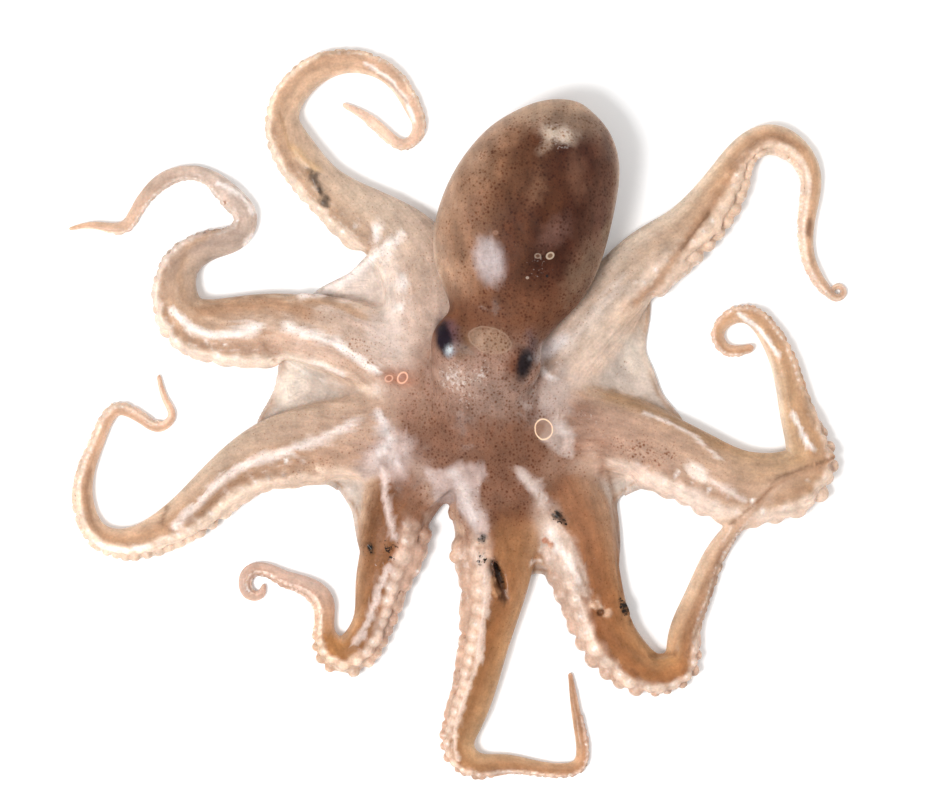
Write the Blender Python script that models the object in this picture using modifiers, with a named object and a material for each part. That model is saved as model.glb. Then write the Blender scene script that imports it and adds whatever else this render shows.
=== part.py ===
"""A small webfoot octopus, whole, lying on its belly with its eight arms spread: one solid.

Run it with: blender --background --python part.py

The sizes below are in millimetres. Places are seen from above and counted from the mouth,
which is under the middle of the arm crown: +Y runs to the tip of the mantle, +X to the
animal's right as it is drawn here, and +Z is up. The finished solid is then moved so that
the frame's origin is under the middle of its box, on the surface that it lies on.
"""

import bmesh
import bpy
import numpy as np

MM = 0.001

# Every arm's route: (x, y, width) at each place where it bends or changes its taper.
ARMS = {
    "upper_left": [
        (-9, 18.5, 19), (-16, 33, 20), (-22.5, 48, 18), (-33, 60, 15), (-44.5, 69, 13),
        (-51.5, 78.5, 13), (-54.5, 86.5, 10.5), (-50, 96.5, 8.5), (-38, 102.5, 6.5),
        (-26, 98.5, 5.5), (-19, 89, 4.5), (-18, 84, 3.5), (-21, 80.5, 3), (-29.5, 85.5, 2.5),
        (-38, 91, 1.2),
    ],
    "left": [
        (-11, 12, 19), (-27, 22.5, 21.5), (-39, 27, 20.5), (-50, 29, 19), (-62, 29.5, 19.5),
        (-81.5, 33, 14.5), (-83.5, 47, 11.5), (-73.5, 54.5, 8), (-67, 56, 6.5),
        (-64.5, 60, 6.5), (-75, 71.5, 4.5), (-86.5, 70, 4), (-94, 61, 3.5), (-97, 58, 3),
        (-106.5, 58, 1.5), (-112, 57, 1.2),
    ],
    "lower_left": [
        (-12, 2.5, 19), (-27, 1, 21.5), (-42, -1, 21.5), (-52.5, -2.5, 20.5), (-71, -12, 14),
        (-86, -24, 9.5), (-96, -27.5, 8), (-103.5, -25.5, 7.5), (-108.5, -12.5, 5.5),
        (-105, 0.5, 3.5), (-99.5, 8.5, 3), (-92, 5.5, 2.5), (-88, 4, 2.5), (-85, 6.5, 2.2),
        (-86, 10.5, 2), (-88, 16.5, 1.2),
    ],
    "lower_hook": [
        (-9.5, -5.5, 16), (-19, -12, 20), (-24.5, -28.5, 19), (-28.5, -46.5, 12.5),
        (-32, -53.5, 11.5), (-37.5, -58, 10.5), (-42.5, -55, 7.5), (-43, -49, 5.5),
        (-48, -40, 4.5), (-55, -37.5, 3.5), (-60, -35, 3), (-64, -36, 3), (-63.5, -41.5, 2.2),
        (-61, -41.5, 2), (-60, -39.5, 1.2),
    ],
    "bottom": [
        (-1.5, -5.5, 16), (2, -25.5, 24), (2.5, -35, 21), (0, -54.5, 14.5), (-5.5, -75.5, 11),
        (-7, -82.5, 9.5), (-3, -87, 7), (4, -87.5, 5.5), (19.5, -89, 4), (24.5, -88, 3.5),
        (25.5, -77, 2.5), (23, -64, 1.2),
    ],
    "lower_right": [
        (9.5, -4, 16), (17.5, -13.5, 20.5), (23, -23, 21.5), (25.5, -32.5, 21),
        (28.5, -42.5, 18), (32.5, -52, 15.5), (46, -62.5, 10.5), (52.5, -60, 9.5),
        (54.5, -54, 8.5), (57, -43.5, 7.5), (62.5, -29.5, 5), (71, -19, 3), (82.5, -9.5, 2.2),
        (88.5, -7.5, 1.6), (94, -4.5, 1.2),
    ],
    "right": [
        (12, 2.5, 19), (25.5, 2, 22.5), (36.5, 0.5, 21.5), (58, -8.5, 20.5), (69.5, -12, 19.5),
        (86.5, -6.5, 12.5), (85.5, 5.5, 10.5), (82.5, 16, 7.5), (78.5, 27, 5.5),
        (69, 34.5, 4.5), (63, 28.5, 3.5), (65, 25, 3), (71.5, 24.5, 2.5),
    ],
    "upper_right": [
        (9.5, 11, 16), (20, 21.5, 20.5), (31, 34.5, 19.5), (39, 43.5, 18.5), (45, 49.5, 17.5),
        (53, 55, 16), (65.5, 70.5, 11.5), (70, 77.5, 8), (76.5, 81.5, 7.5), (87.5, 73, 5.5),
        (87, 61, 4), (87.5, 49, 2.5), (93, 40, 2.2), (95.5, 38.5, 1.5), (97, 40, 1.2),
        (95.5, 42, 1.2), (93.5, 41, 1.2),
    ],
}
# The side that each arm turns its suckers to: +1 is the left of its way out from the mouth.
SUCKER_SIDE = {
    "upper_left": 1, "left": 1, "lower_left": 1, "lower_hook": 1,
    "bottom": -1, "lower_right": -1, "right": -1, "upper_right": -1,
}
# The tip of this arm lies across the arm beside it, this high, from this share of its length.
CROSSING_ARM = "lower_right"
CROSSING_START = 0.72
CROSSING_LIFT = 6.0

# An arm's height is its width times a factor that falls as the arm grows wider.
SLIM_ARM_FACTOR = 0.9
WIDE_ARM_FACTOR = 0.42
WIDE_ARM = 20.0
ARM_STEP = 1.5
ARM_SIDES = 16
# An arm lies this deep in the surface before it is cut flat, or less where it is thin.
SINK = 0.5
MOST_SINK_SHARE = 0.12

# Mantle and head, from the crown to the mantle's tip: (y, x, width, lowest, highest).
BODY_SECTIONS = [
    (2, -1, 20, -1, 13), (10, -0.8, 25, -1, 17.5), (18, -0.4, 28, -1, 21),
    (26, 1.2, 28.5, -0.5, 23), (35, 7, 33, 0, 25), (43, 8.4, 41, -0.3, 27),
    (54, 9.5, 47.5, -0.6, 28.8), (65, 11.6, 47.5, -0.6, 29), (74.5, 13.8, 43.5, -0.2, 27.6),
    (83, 15.8, 34.5, 2, 24), (89, 17.5, 21.5, 5.5, 18.5), (92, 19.2, 8, 9, 14),
]
BODY_STEP = 2.0
BODY_SIDES = 48

# Eyes: (x, y, height over the surface), and the radius of the bulge.
EYES = [(-10.2, 26, 15), (10, 20.5, 14.5)]
EYE_RADIUS = 6.2
EYE_SIDES = 24

# Margin of the web between the arms: (angle from +X, distance from the mouth).
WEB_MARGIN = [
    (-51, 34), (-42, 48), (-24, 39.5), (-14, 48), (4, 55), (14, 49), (30, 49), (41, 60),
    (52, 62), (76, 40), (107, 56), (122, 57), (130, 56.5), (141, 60), (158, 60), (166, 58),
    (173, 60), (196, 42), (208, 40.5), (221, 44), (229, 28), (234, 21), (246, 23), (262, 34),
    (282, 40), (290, 38), (299, 42),
]
WEB_EDGE = 1.2
CROWN_HEIGHT = 15.0
CROWN_SPREAD = 24.0
WEB_RINGS = 24
WEB_SIDES = 180
SMALLEST_RING = 0.04

# Suckers: bumps along one side of the arm, as shares of the arm's width, or height, there.
SUCKER_RADIUS = 0.13
SUCKER_ACROSS = 0.40
SUCKER_DROP = 0.12
SUCKER_SPACING = 2.2
SUCKER_START = 22.0
SMALLEST_SUCKER_ARM = 5.0
SUCKER_SIDES = 10

# The shapes are blended on a grid of this size, and what is under the surface that the
# octopus lies on is cut away with a block, so that it lies flat.
BLEND_GRID = 0.55
BLEND_ROUNDS = 5
KEPT_FACES = 0.022
BLOCK_SIZE = (400.0, 400.0, 20.0)

SKIN_COLOUR = (0.42, 0.25, 0.15, 1.0)
SKIN_ROUGHNESS = 0.32


def spline(points, step):
    """Points every step along a natural cubic curve through the given ones."""
    points = np.array(points, float)
    knots = np.append(0, np.cumsum(np.linalg.norm(np.diff(points[:, :2], axis=0), axis=1)))
    gaps = np.diff(knots)
    slopes = np.diff(points, axis=0) / gaps[:, None]
    matrix = np.eye(len(points))
    turns = np.zeros_like(points)
    for i in range(1, len(points) - 1):
        matrix[i, i - 1:i + 2] = gaps[i - 1], 2 * (gaps[i - 1] + gaps[i]), gaps[i]
        turns[i] = 6 * (slopes[i] - slopes[i - 1])
    bends = np.linalg.solve(matrix, turns)
    places = np.linspace(0, knots[-1], int(knots[-1] / step) + 2)
    k = np.clip(np.searchsorted(knots, places, side="right") - 1, 0, len(gaps) - 1)
    along = (places - knots[k])[:, None]
    gap = gaps[k][:, None]
    first = slopes[k] - gap * (2 * bends[k] + bends[k + 1]) / 6
    second = bends[k] / 2
    third = (bends[k + 1] - bends[k]) / (6 * gap)
    return points[k] + along * (first + along * (second + along * third))


def loft(model, rings):
    """Skin from ring to ring, with a face over each end."""
    rows = [[model.verts.new(point * MM) for point in ring] for ring in rings]
    for row, following in zip(rows, rows[1:]):
        for i in range(len(row)):
            j = (i + 1) % len(row)
            model.faces.new((row[i], row[j], following[j], following[i]))
    model.faces.new(rows[0][::-1])
    model.faces.new(rows[-1])


def oval(centre, across, up, sides):
    """Ring of points round a centre, on the ellipse that two half axes span."""
    angles = np.linspace(0, 2 * np.pi, sides, endpoint=False)[:, None]
    return centre + across * np.cos(angles) + up * np.sin(angles)


def arm_height(width):
    share = np.minimum(width / WIDE_ARM, 1)
    return width * (SLIM_ARM_FACTOR + (WIDE_ARM_FACTOR - SLIM_ARM_FACTOR) * share)


def arm_frame(name):
    """Centre line, direction to the left, width and height along one arm."""
    path = spline(ARMS[name], ARM_STEP)
    width = np.maximum(path[:, 2], ARMS[name][-1][2])
    height = arm_height(width)
    ahead = np.gradient(path[:, :2], axis=0)
    ahead /= np.linalg.norm(ahead, axis=1)[:, None]
    left = np.column_stack([-ahead[:, 1], ahead[:, 0], np.zeros(len(path))])
    centre = np.column_stack([path[:, :2], height / 2 - np.minimum(SINK, height * MOST_SINK_SHARE)])
    if name == CROSSING_ARM:
        share = (np.linspace(0, 1, len(path)) - CROSSING_START) / (1 - CROSSING_START)
        rise = np.clip(share * 2, 0, 1)
        centre[:, 2] += CROSSING_LIFT * rise * rise * (3 - 2 * rise)
    return centre, left, width, height


def add_arm(model, name):
    up = np.array([0, 0, 0.5])
    centre, left, width, height = arm_frame(name)
    loft(model, [oval(c, side * w / 2, up * h, ARM_SIDES)
                 for c, side, w, h in zip(centre, left, width, height)])


def add_suckers(model, name):
    """Round bumps on the arm's sucker side, spaced by their own size."""
    centre, left, width, height = arm_frame(name)
    side = SUCKER_SIDE[name]
    place = SUCKER_START
    while place / ARM_STEP < len(centre) - 1:
        i = int(place / ARM_STEP)
        if width[i] < SMALLEST_SUCKER_ARM:
            break
        radius = SUCKER_RADIUS * width[i]
        point = centre[i] + left[i] * side * width[i] * SUCKER_ACROSS
        point[2] = max(radius, centre[i, 2] - height[i] * SUCKER_DROP)
        ball = bmesh.ops.create_uvsphere(model, u_segments=SUCKER_SIDES,
                                         v_segments=SUCKER_SIDES // 2 + 1, radius=radius * MM)
        bmesh.ops.translate(model, verts=ball["verts"], vec=point * MM)
        place += SUCKER_SPACING * radius


def add_body(model):
    """Mantle, neck and head as one egg that narrows to the crown."""
    up = np.array([0, 0, 0.5])
    rings = []
    for y, x, width, lowest, highest in spline(BODY_SECTIONS, BODY_STEP):
        centre = np.array([x, y, (lowest + highest) / 2])
        across = np.array([width / 2, 0, 0])
        rings.append(oval(centre, across, up * (highest - lowest), BODY_SIDES))
    loft(model, rings)


def add_eyes(model):
    for x, y, z in EYES:
        ball = bmesh.ops.create_uvsphere(model, u_segments=EYE_SIDES,
                                         v_segments=EYE_SIDES // 2, radius=EYE_RADIUS * MM)
        bmesh.ops.translate(model, verts=ball["verts"], vec=(x * MM, y * MM, z * MM))


def add_web(model):
    """Skin between the arms, thin at its margin and rising to the crown over the mouth."""
    corners, reaches = np.array(WEB_MARGIN, float).T
    angles = np.linspace(-180, 180, WEB_SIDES, endpoint=False)
    reach = np.interp(angles, corners, reaches, period=360)
    ways = np.column_stack([np.cos(np.radians(angles)), np.sin(np.radians(angles))])
    rings = [np.column_stack([ways * reach[:, None], np.full(WEB_SIDES, -2 * SINK)])]
    for share in np.linspace(1, SMALLEST_RING, WEB_RINGS):
        far = reach * share
        rise = (CROWN_HEIGHT - WEB_EDGE) * np.exp(-((far / CROWN_SPREAD) ** 2))
        rings.append(np.column_stack([ways * far[:, None], WEB_EDGE + rise]))
    loft(model, rings)


def skin_material():
    skin = bpy.data.materials.new("octopus skin")
    skin.use_nodes = True
    shader = skin.node_tree.nodes["Principled BSDF"]
    shader.inputs["Base Color"].default_value = SKIN_COLOUR
    shader.inputs["Roughness"].default_value = SKIN_ROUGHNESS
    shader.inputs["Metallic"].default_value = 0.0
    return skin


def add_cutter(collection):
    """Block whose top is the surface that the octopus lies on."""
    bpy.ops.mesh.primitive_cube_add(size=1)
    block = bpy.context.object
    block.name = "under_surface"
    block.scale = np.array(BLOCK_SIZE) * MM
    block.location = (0, 0, -BLOCK_SIZE[2] * MM / 2)
    bpy.ops.object.transform_apply(location=True, rotation=False, scale=True)
    block.hide_render = True
    block.display_type = "WIRE"
    for owner in list(block.users_collection):
        owner.objects.unlink(block)
    collection.objects.link(block)
    return block


def add_modifiers(octopus, block):
    """Blend the shapes into one skin, lighten it, and cut the flat underside."""
    blend = octopus.modifiers.new("Blend", "REMESH")
    blend.mode = "VOXEL"
    blend.voxel_size = BLEND_GRID * MM
    soften = octopus.modifiers.new("Soften", "SMOOTH")
    soften.factor = 0.5
    soften.iterations = BLEND_ROUNDS
    lighten = octopus.modifiers.new("Lighten", "DECIMATE")
    lighten.ratio = KEPT_FACES
    rest = octopus.modifiers.new("Lie flat", "BOOLEAN")
    rest.operation = "DIFFERENCE"
    rest.solver = "EXACT"
    rest.object = block


def centre_over_origin(octopus):
    """Move the solid so that the origin is under the middle of its box."""
    shape = octopus.evaluated_get(bpy.context.evaluated_depsgraph_get())
    corners = np.array(shape.bound_box)
    middle = (corners.min(axis=0) + corners.max(axis=0)) / 2
    octopus.location = (-middle[0], -middle[1], 0)
    bpy.context.view_layer.update()
    print("mouth at", octopus.location[:], "faces", len(shape.data.polygons))


def main():
    for old in list(bpy.data.objects):
        bpy.data.objects.remove(old, do_unlink=True)
    parts = bpy.data.collections.new("octopus")
    cutters = bpy.data.collections.new("cutters")
    bpy.context.scene.collection.children.link(parts)
    bpy.context.scene.collection.children.link(cutters)

    model = bmesh.new()
    add_body(model)
    add_eyes(model)
    add_web(model)
    for name in ARMS:
        add_arm(model, name)
        add_suckers(model, name)
    bmesh.ops.recalc_face_normals(model, faces=model.faces)
    mesh = bpy.data.meshes.new("octopus")
    model.to_mesh(mesh)
    model.free()
    mesh.shade_smooth()
    mesh.materials.append(skin_material())

    octopus = bpy.data.objects.new("octopus", mesh)
    parts.objects.link(octopus)
    add_modifiers(octopus, add_cutter(cutters))
    bpy.context.view_layer.update()
    centre_over_origin(octopus)


main()
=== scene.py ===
import math

import bpy
import numpy as np
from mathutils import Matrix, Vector


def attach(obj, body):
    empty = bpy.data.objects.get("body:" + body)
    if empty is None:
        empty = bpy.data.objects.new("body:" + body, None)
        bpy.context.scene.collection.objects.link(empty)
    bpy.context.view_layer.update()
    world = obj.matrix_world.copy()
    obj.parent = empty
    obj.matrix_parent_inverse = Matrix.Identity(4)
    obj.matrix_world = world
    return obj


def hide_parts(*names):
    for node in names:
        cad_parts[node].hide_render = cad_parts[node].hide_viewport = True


# A whole raw octopus lying on a white surface, with its arms spread.
# Places are in millimetres from the mouth, under the middle of the arm crown, and go to
# metres in the frame of the solid only when a mesh is made.

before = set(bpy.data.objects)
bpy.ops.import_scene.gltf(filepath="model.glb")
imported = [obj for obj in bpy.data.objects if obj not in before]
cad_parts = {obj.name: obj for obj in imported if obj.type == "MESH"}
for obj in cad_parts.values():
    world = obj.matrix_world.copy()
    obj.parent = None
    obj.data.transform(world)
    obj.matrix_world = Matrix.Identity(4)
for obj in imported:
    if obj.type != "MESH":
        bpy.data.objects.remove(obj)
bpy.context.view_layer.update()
mouth = np.array([7.19, -7.41, 0.0])  # mm, where the mouth lies in the frame
metre = 0.001
rng = np.random.default_rng(8)

# colours along each arm, all linear: (share of its length, back, stripe beside the suckers,
# far edge, suckers)
armColours = {
    "upperLeft": [
        (0.10, (0.50, 0.36, 0.29), (0.52, 0.36, 0.28), (0.60, 0.45, 0.36), (0.80, 0.64, 0.53)),
        (0.30, (0.56, 0.42, 0.32), (0.47, 0.31, 0.21), (0.60, 0.46, 0.36), (0.68, 0.53, 0.42)),
        (0.44, (0.54, 0.37, 0.26), (0.44, 0.27, 0.17), (0.64, 0.48, 0.36), (0.80, 0.64, 0.51)),
        (0.65, (0.60, 0.38, 0.25), (0.50, 0.30, 0.19), (0.72, 0.52, 0.38), (0.80, 0.58, 0.42)),
        (1.00, (0.78, 0.56, 0.44), (0.72, 0.48, 0.36), (0.82, 0.62, 0.50), (0.82, 0.60, 0.46)),
    ],
    "left": [
        (0.10, (0.50, 0.36, 0.29), (0.52, 0.36, 0.28), (0.55, 0.40, 0.31), (0.80, 0.62, 0.50)),
        (0.30, (0.51, 0.36, 0.27), (0.56, 0.36, 0.26), (0.50, 0.36, 0.26), (0.80, 0.64, 0.52)),
        (0.45, (0.44, 0.285, 0.19), (0.45, 0.28, 0.18), (0.48, 0.33, 0.23), (0.78, 0.62, 0.51)),
        (0.58, (0.44, 0.32, 0.25), (0.41, 0.29, 0.23), (0.47, 0.36, 0.29), (0.56, 0.44, 0.37)),
        (0.72, (0.54, 0.42, 0.355), (0.50, 0.375, 0.31), (0.58, 0.46, 0.39), (0.64, 0.51, 0.43)),
        (1.00, (0.60, 0.38, 0.25), (0.52, 0.31, 0.20), (0.70, 0.48, 0.34), (0.80, 0.58, 0.44)),
    ],
    "lowerLeft": [
        (0.10, (0.46, 0.30, 0.22), (0.44, 0.27, 0.19), (0.50, 0.34, 0.25), (0.72, 0.52, 0.40)),
        (0.35, (0.50, 0.355, 0.26), (0.36, 0.20, 0.11), (0.55, 0.41, 0.305), (0.74, 0.57, 0.45)),
        (0.60, (0.56, 0.35, 0.23), (0.46, 0.26, 0.15), (0.66, 0.45, 0.31), (0.82, 0.62, 0.48)),
        (1.00, (0.66, 0.43, 0.31), (0.58, 0.36, 0.25), (0.72, 0.50, 0.38), (0.78, 0.56, 0.42)),
    ],
    "lowerHook": [
        (0.15, (0.28, 0.12, 0.055), (0.20, 0.08, 0.035), (0.46, 0.29, 0.19), (0.58, 0.40, 0.31)),
        (0.45, (0.38, 0.19, 0.09), (0.24, 0.10, 0.04), (0.50, 0.30, 0.18), (0.70, 0.52, 0.42)),
        (0.62, (0.44, 0.20, 0.07), (0.36, 0.16, 0.06), (0.60, 0.36, 0.22), (0.80, 0.60, 0.44)),
        (0.75, (0.56, 0.40, 0.33), (0.52, 0.35, 0.27), (0.60, 0.42, 0.34), (0.66, 0.47, 0.37)),
        (1.00, (0.56, 0.38, 0.30), (0.52, 0.33, 0.25), (0.60, 0.40, 0.31), (0.66, 0.45, 0.35)),
    ],
    "bottom": [
        (0.10, (0.30, 0.13, 0.06), (0.26, 0.11, 0.05), (0.42, 0.23, 0.13), (0.60, 0.41, 0.31)),
        (0.35, (0.37, 0.18, 0.08), (0.26, 0.10, 0.035), (0.48, 0.27, 0.14), (0.68, 0.49, 0.375)),
        (0.60, (0.44, 0.25, 0.13), (0.34, 0.16, 0.07), (0.56, 0.36, 0.21), (0.72, 0.52, 0.40)),
        (1.00, (0.46, 0.26, 0.16), (0.40, 0.21, 0.12), (0.56, 0.35, 0.23), (0.64, 0.41, 0.29)),
    ],
    "lowerRight": [
        (0.10, (0.30, 0.14, 0.07), (0.30, 0.13, 0.065), (0.42, 0.25, 0.16), (0.60, 0.43, 0.34)),
        (0.30, (0.30, 0.12, 0.045), (0.26, 0.10, 0.04), (0.38, 0.19, 0.09), (0.67, 0.50, 0.40)),
        (0.52, (0.42, 0.21, 0.09), (0.30, 0.12, 0.045), (0.50, 0.29, 0.15), (0.75, 0.56, 0.44)),
        (0.66, (0.60, 0.41, 0.28), (0.42, 0.22, 0.12), (0.72, 0.53, 0.39), (0.70, 0.50, 0.37)),
        (0.80, (0.58, 0.40, 0.29), (0.50, 0.32, 0.22), (0.64, 0.47, 0.36), (0.66, 0.48, 0.37)),
        (1.00, (0.44, 0.24, 0.14), (0.38, 0.19, 0.11), (0.58, 0.36, 0.24), (0.60, 0.38, 0.27)),
    ],
    "right": [
        (0.10, (0.42, 0.26, 0.19), (0.42, 0.25, 0.18), (0.48, 0.32, 0.22), (0.70, 0.51, 0.41)),
        (0.35, (0.48, 0.31, 0.21), (0.50, 0.33, 0.24), (0.46, 0.28, 0.16), (0.80, 0.63, 0.53)),
        (0.55, (0.46, 0.28, 0.155), (0.42, 0.24, 0.14), (0.54, 0.37, 0.24), (0.72, 0.54, 0.42)),
        (0.70, (0.54, 0.35, 0.22), (0.46, 0.26, 0.14), (0.80, 0.64, 0.50), (0.68, 0.45, 0.30)),
        (1.00, (0.62, 0.39, 0.26), (0.46, 0.25, 0.14), (0.66, 0.44, 0.31), (0.74, 0.52, 0.39)),
    ],
    "upperRight": [
        (0.10, (0.48, 0.35, 0.28), (0.48, 0.33, 0.25), (0.50, 0.38, 0.31), (0.66, 0.49, 0.39)),
        (0.30, (0.54, 0.425, 0.34), (0.49, 0.35, 0.26), (0.60, 0.48, 0.385), (0.70, 0.54, 0.43)),
        (0.50, (0.60, 0.42, 0.29), (0.46, 0.27, 0.16), (0.74, 0.58, 0.44), (0.76, 0.56, 0.42)),
        (0.72, (0.60, 0.38, 0.24), (0.50, 0.29, 0.17), (0.70, 0.50, 0.35), (0.82, 0.62, 0.48)),
        (1.00, (0.64, 0.43, 0.31), (0.54, 0.33, 0.22), (0.70, 0.50, 0.38), (0.74, 0.53, 0.41)),
    ],
}

# route holds (x, y, width) where the arm bends or changes its taper; side is the side of its
# way out (+1 left) that the suckers face; roll is how far up they face, in degrees, at the
# root and at the tip; suckersFrom is how many mm along it they start to show
arms = {
    "upperLeft": {
        "route": [
            (-9, 18.5, 19), (-14.5, 34, 24), (-20, 49.5, 22.5), (-32.6, 59.6, 17.8),
            (-44.8, 68.7, 13.5), (-52.1, 78.2, 12.4), (-55.1, 86.5, 9.9), (-50.2, 96.7, 9),
            (-38, 102.6, 7.1), (-25.7, 98.9, 5.7), (-18.9, 89, 4.8), (-17.8, 84, 4),
            (-21, 80, 3.4), (-29.7, 85.2, 3.4), (-38, 90.5, 1.8),
        ],
        "side": 1, "roll": (-5, 5), "suckersFrom": 47,
    },
    "left": {
        "route": [
            (-11, 12, 19), (-27, 22.5, 21.5), (-39, 27.5, 21.5), (-50, 29.4, 20), (-62, 29.4, 20),
            (-81.7, 32.8, 15), (-82.7, 47, 11), (-73.2, 53.2, 8.3), (-66.7, 55.6, 6.9),
            (-64.8, 60, 6.4), (-69, 65.7, 6.8), (-74.3, 70.6, 4.9), (-79, 72.2, 4.2),
            (-86.8, 70.2, 4.6), (-94.6, 61.3, 3.7), (-97, 57.9, 3.8), (-106.5, 57.9, 2.4),
            (-112.2, 57.1, 1.3),
        ],
        "side": 1, "roll": (-8, 5), "suckersFrom": 50,
    },
    "lowerLeft": {
        "route": [
            (-12, 2.5, 19), (-27, 1, 21.5), (-42, -1, 21.5), (-52.5, -2.5, 20.5),
            (-70.8, -12.4, 14.8), (-77.9, -19.2, 14), (-85.9, -24.4, 11.5), (-96, -28.1, 9.2),
            (-104.1, -26.2, 7.2), (-108.9, -12.8, 5.6), (-104.8, 0.4, 4.3), (-99.5, 8.5, 3.9),
            (-92, 5.4, 3.3), (-88, 3.8, 3.2), (-85, 6.3, 2.6), (-86.4, 10.5, 2.2), (-88.4, 17.1, 1.5),
        ],
        "side": 1, "roll": (-5, 35), "suckersFrom": 34,
    },
    "lowerHook": {
        "route": [
            (-9.5, -5.5, 16), (-19, -12, 20), (-24.5, -28.5, 18), (-27.6, -38.5, 14.9),
            (-29.2, -46.7, 12.3), (-32, -53.5, 11.5), (-37.9, -58.5, 11.6), (-42.9, -55, 8.3),
            (-43.5, -49, 5.5), (-44.2, -43.3, 6.4), (-48.3, -39.7, 5.6), (-55, -37.2, 4.6),
            (-60, -35, 3.9), (-64.1, -36.2, 3.9), (-63.6, -41.6, 3.3), (-61, -41.6, 2.9),
            (-60, -39.5, 1.6),
        ],
        "side": 1, "roll": (34, 30), "suckersFrom": 22,
    },
    "bottom": {
        "route": [
            (-1.5, -5.5, 16), (2, -25.5, 24), (2.4, -35, 20.6), (-0.5, -54.5, 14), (-6, -75.5, 10.9),
            (-7.6, -82.8, 9.4), (-3.4, -87.8, 8), (4, -87.8, 6), (19.5, -89.5, 4.3),
            (25, -88.4, 4.2), (25.5, -77, 3.4), (23.2, -63.6, 1.6),
        ],
        "side": -1, "roll": (38, 15), "suckersFrom": 20,
    },
    "lowerRight": {
        "route": [
            (9.5, -4, 16), (17.5, -13.5, 20.5), (23, -23, 21.3), (25.5, -32.5, 20.8),
            (28.6, -42.5, 18), (32.1, -52.4, 16.8), (38, -59.7, 15), (46, -63.5, 12.1),
            (52.9, -60.5, 10.6), (53.8, -54, 9.2), (57.1, -43.5, 7.7), (63, -29.8, 6),
            (71, -19.2, 3.6), (82.5, -9.5, 2.4), (88.5, -7.5, 1.8), (94, -4.5, 1),
        ],
        "side": -1, "roll": (34, 10), "suckersFrom": 28,
    },
    "right": {
        "route": [
            (12, 2.5, 19), (25.5, 2, 22.5), (36.5, 0.5, 21.5), (57.9, -8.8, 21.1),
            (69.5, -13.1, 20.6), (87.9, -7.2, 15.8), (85, 5.5, 10.3), (82.3, 16, 8.2), (78.1, 27, 6.9),
            (69.2, 34.3, 5.2), (62.8, 28.5, 3.8), (64.8, 24.7, 3.6), (71.5, 24.5, 3),
        ],
        "side": -1, "roll": (8, 12), "suckersFrom": 35,
    },
    "upperRight": {
        "route": [
            (9.5, 11, 16), (20, 21.5, 20.5), (31, 34.5, 19.5), (39.3, 43.2, 19), (45.5, 49, 18),
            (53.4, 54.6, 16.5), (65.7, 70.3, 12), (69.9, 77.7, 8.5), (76.5, 81.2, 8.3),
            (87.4, 73, 6.3), (87, 61, 5.1), (87.4, 49, 4), (92.8, 39.9, 3.1), (95.5, 38.4, 2.4),
            (97.2, 40, 2.1), (95.8, 41.8, 1.9), (93.9, 40.8, 1.7),
        ],
        "side": -1, "roll": (28, 35), "suckersFrom": 46,
    },
}
armForm = {
    "slim": 0.9, "wide": 0.42, "wideFrom": 20.0,  # height is width times slim, falling to wide
    "sink": 0.5, "thinSink": 0.12,  # mm into the floor, and the most as a share of the height
    "station": 0.7,  # mm from one station to the next
    "trim": 0.10, "trimEase": (-12, 4),  # share of the width left to the suckers, and the mm
    # before and past their start over which it grows
    "oralFlat": 0.86, "oralRound": 0.3,  # the sucker face is cut flat at this share of the half width
    "rollEase": [0.1, 0.6],  # shares of the length between which the roll changes
    "crossing": "lowerRight", "crossingFrom": 0.72, "crossingLift": 6.0,  # the tip over the next arm
}

body = {
    # (y, x, width, lowest, highest) from the crown to the tip of the mantle
    "sections": [
        (-6, -1, 2, 2, 6), (2, -1, 20, -1, 13), (10, -0.8, 25, -1, 17.5), (18, -0.4, 28, -1, 21),
        (26, 1.2, 28.5, -0.5, 22.6), (35, 7, 33, 0, 24.0), (43, 8.4, 41, -0.3, 26.5),
        (54, 9.4, 46.7, -0.6, 28.8), (64.6, 11.7, 46.7, -0.6, 29), (73.6, 14.2, 43.1, -0.2, 27.6),
        (82.0, 16.3, 34.2, 1.5, 23.5), (87.8, 18.0, 21.3, 5.4, 19), (90.4, 19.2, 11.5, 8.6, 16),
        (91.3, 19.6, 0.5, 12.2, 12.5),
    ],
    "station": 0.5, "ratios": (0.45, 1.1), "leastSlope": 6.0,
    "eyes": [(-8.4, 26.5, 15.2, 5.7), (9.0, 20.5, 15, 5.4)],  # x, y, z, radius of the bulge
    "eyeLong": 0.9, "eyeJoin": 4.0,
    "join": 6.0, "joinFall": 5.2, "fallFrom": 3, "fallTo": 16,  # mm, softness of the join to the arms
}

web = {
    # (angle from +X, distance from the mouth) round the margin
    "margin": [
        (-51, 34), (-42, 48), (-25, 38.5), (-16, 43), (4, 55), (14, 49.5), (30, 49.5), (41, 60),
        (52, 62), (76, 40), (107, 56), (122, 60), (128, 58), (132, 59), (137, 61), (143, 62),
        (158, 60), (166, 58.5), (172, 60.5), (177, 63.5), (196, 42), (208, 40.5), (221, 44),
        (228, 26), (234, 15), (243, 16), (262, 34), (282, 40), (290, 38), (299, 42),
    ],
    "ease": 3.2, "easeSpan": 8,  # degrees over which the margin is smoothed
    "edge": 0.9, "crown": 15.0, "spread": 24.0,  # its height at the margin and at the mouth
    "slope": 0.9, "rounding": 1.0,
}

skinGrid = {
    "step": 0.5, "mostTriangles": 185000,
    "low": (-116, -94, -0.7), "high": (102, 107, 31),  # corners of its box
    "clear": 9.0,  # value far from the skin
    "armBand": 9, "armClose": 8, "webWithin": 72,  # mm past the half width and from the mouth
    "bodyBox": (6, 42, -14, 100),  # middle and half width, lowest and highest y
    "join": 5.0, "joinEase": (42, 66), "crease": 0.4,  # softness between arms, gone by the tips
    "notches": [(-12.0, -22.0, 7.0), (13.5, -37.0, 5.0)], "notchDepth": 0.85,  # x, y, reach of deep gaps
}

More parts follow.
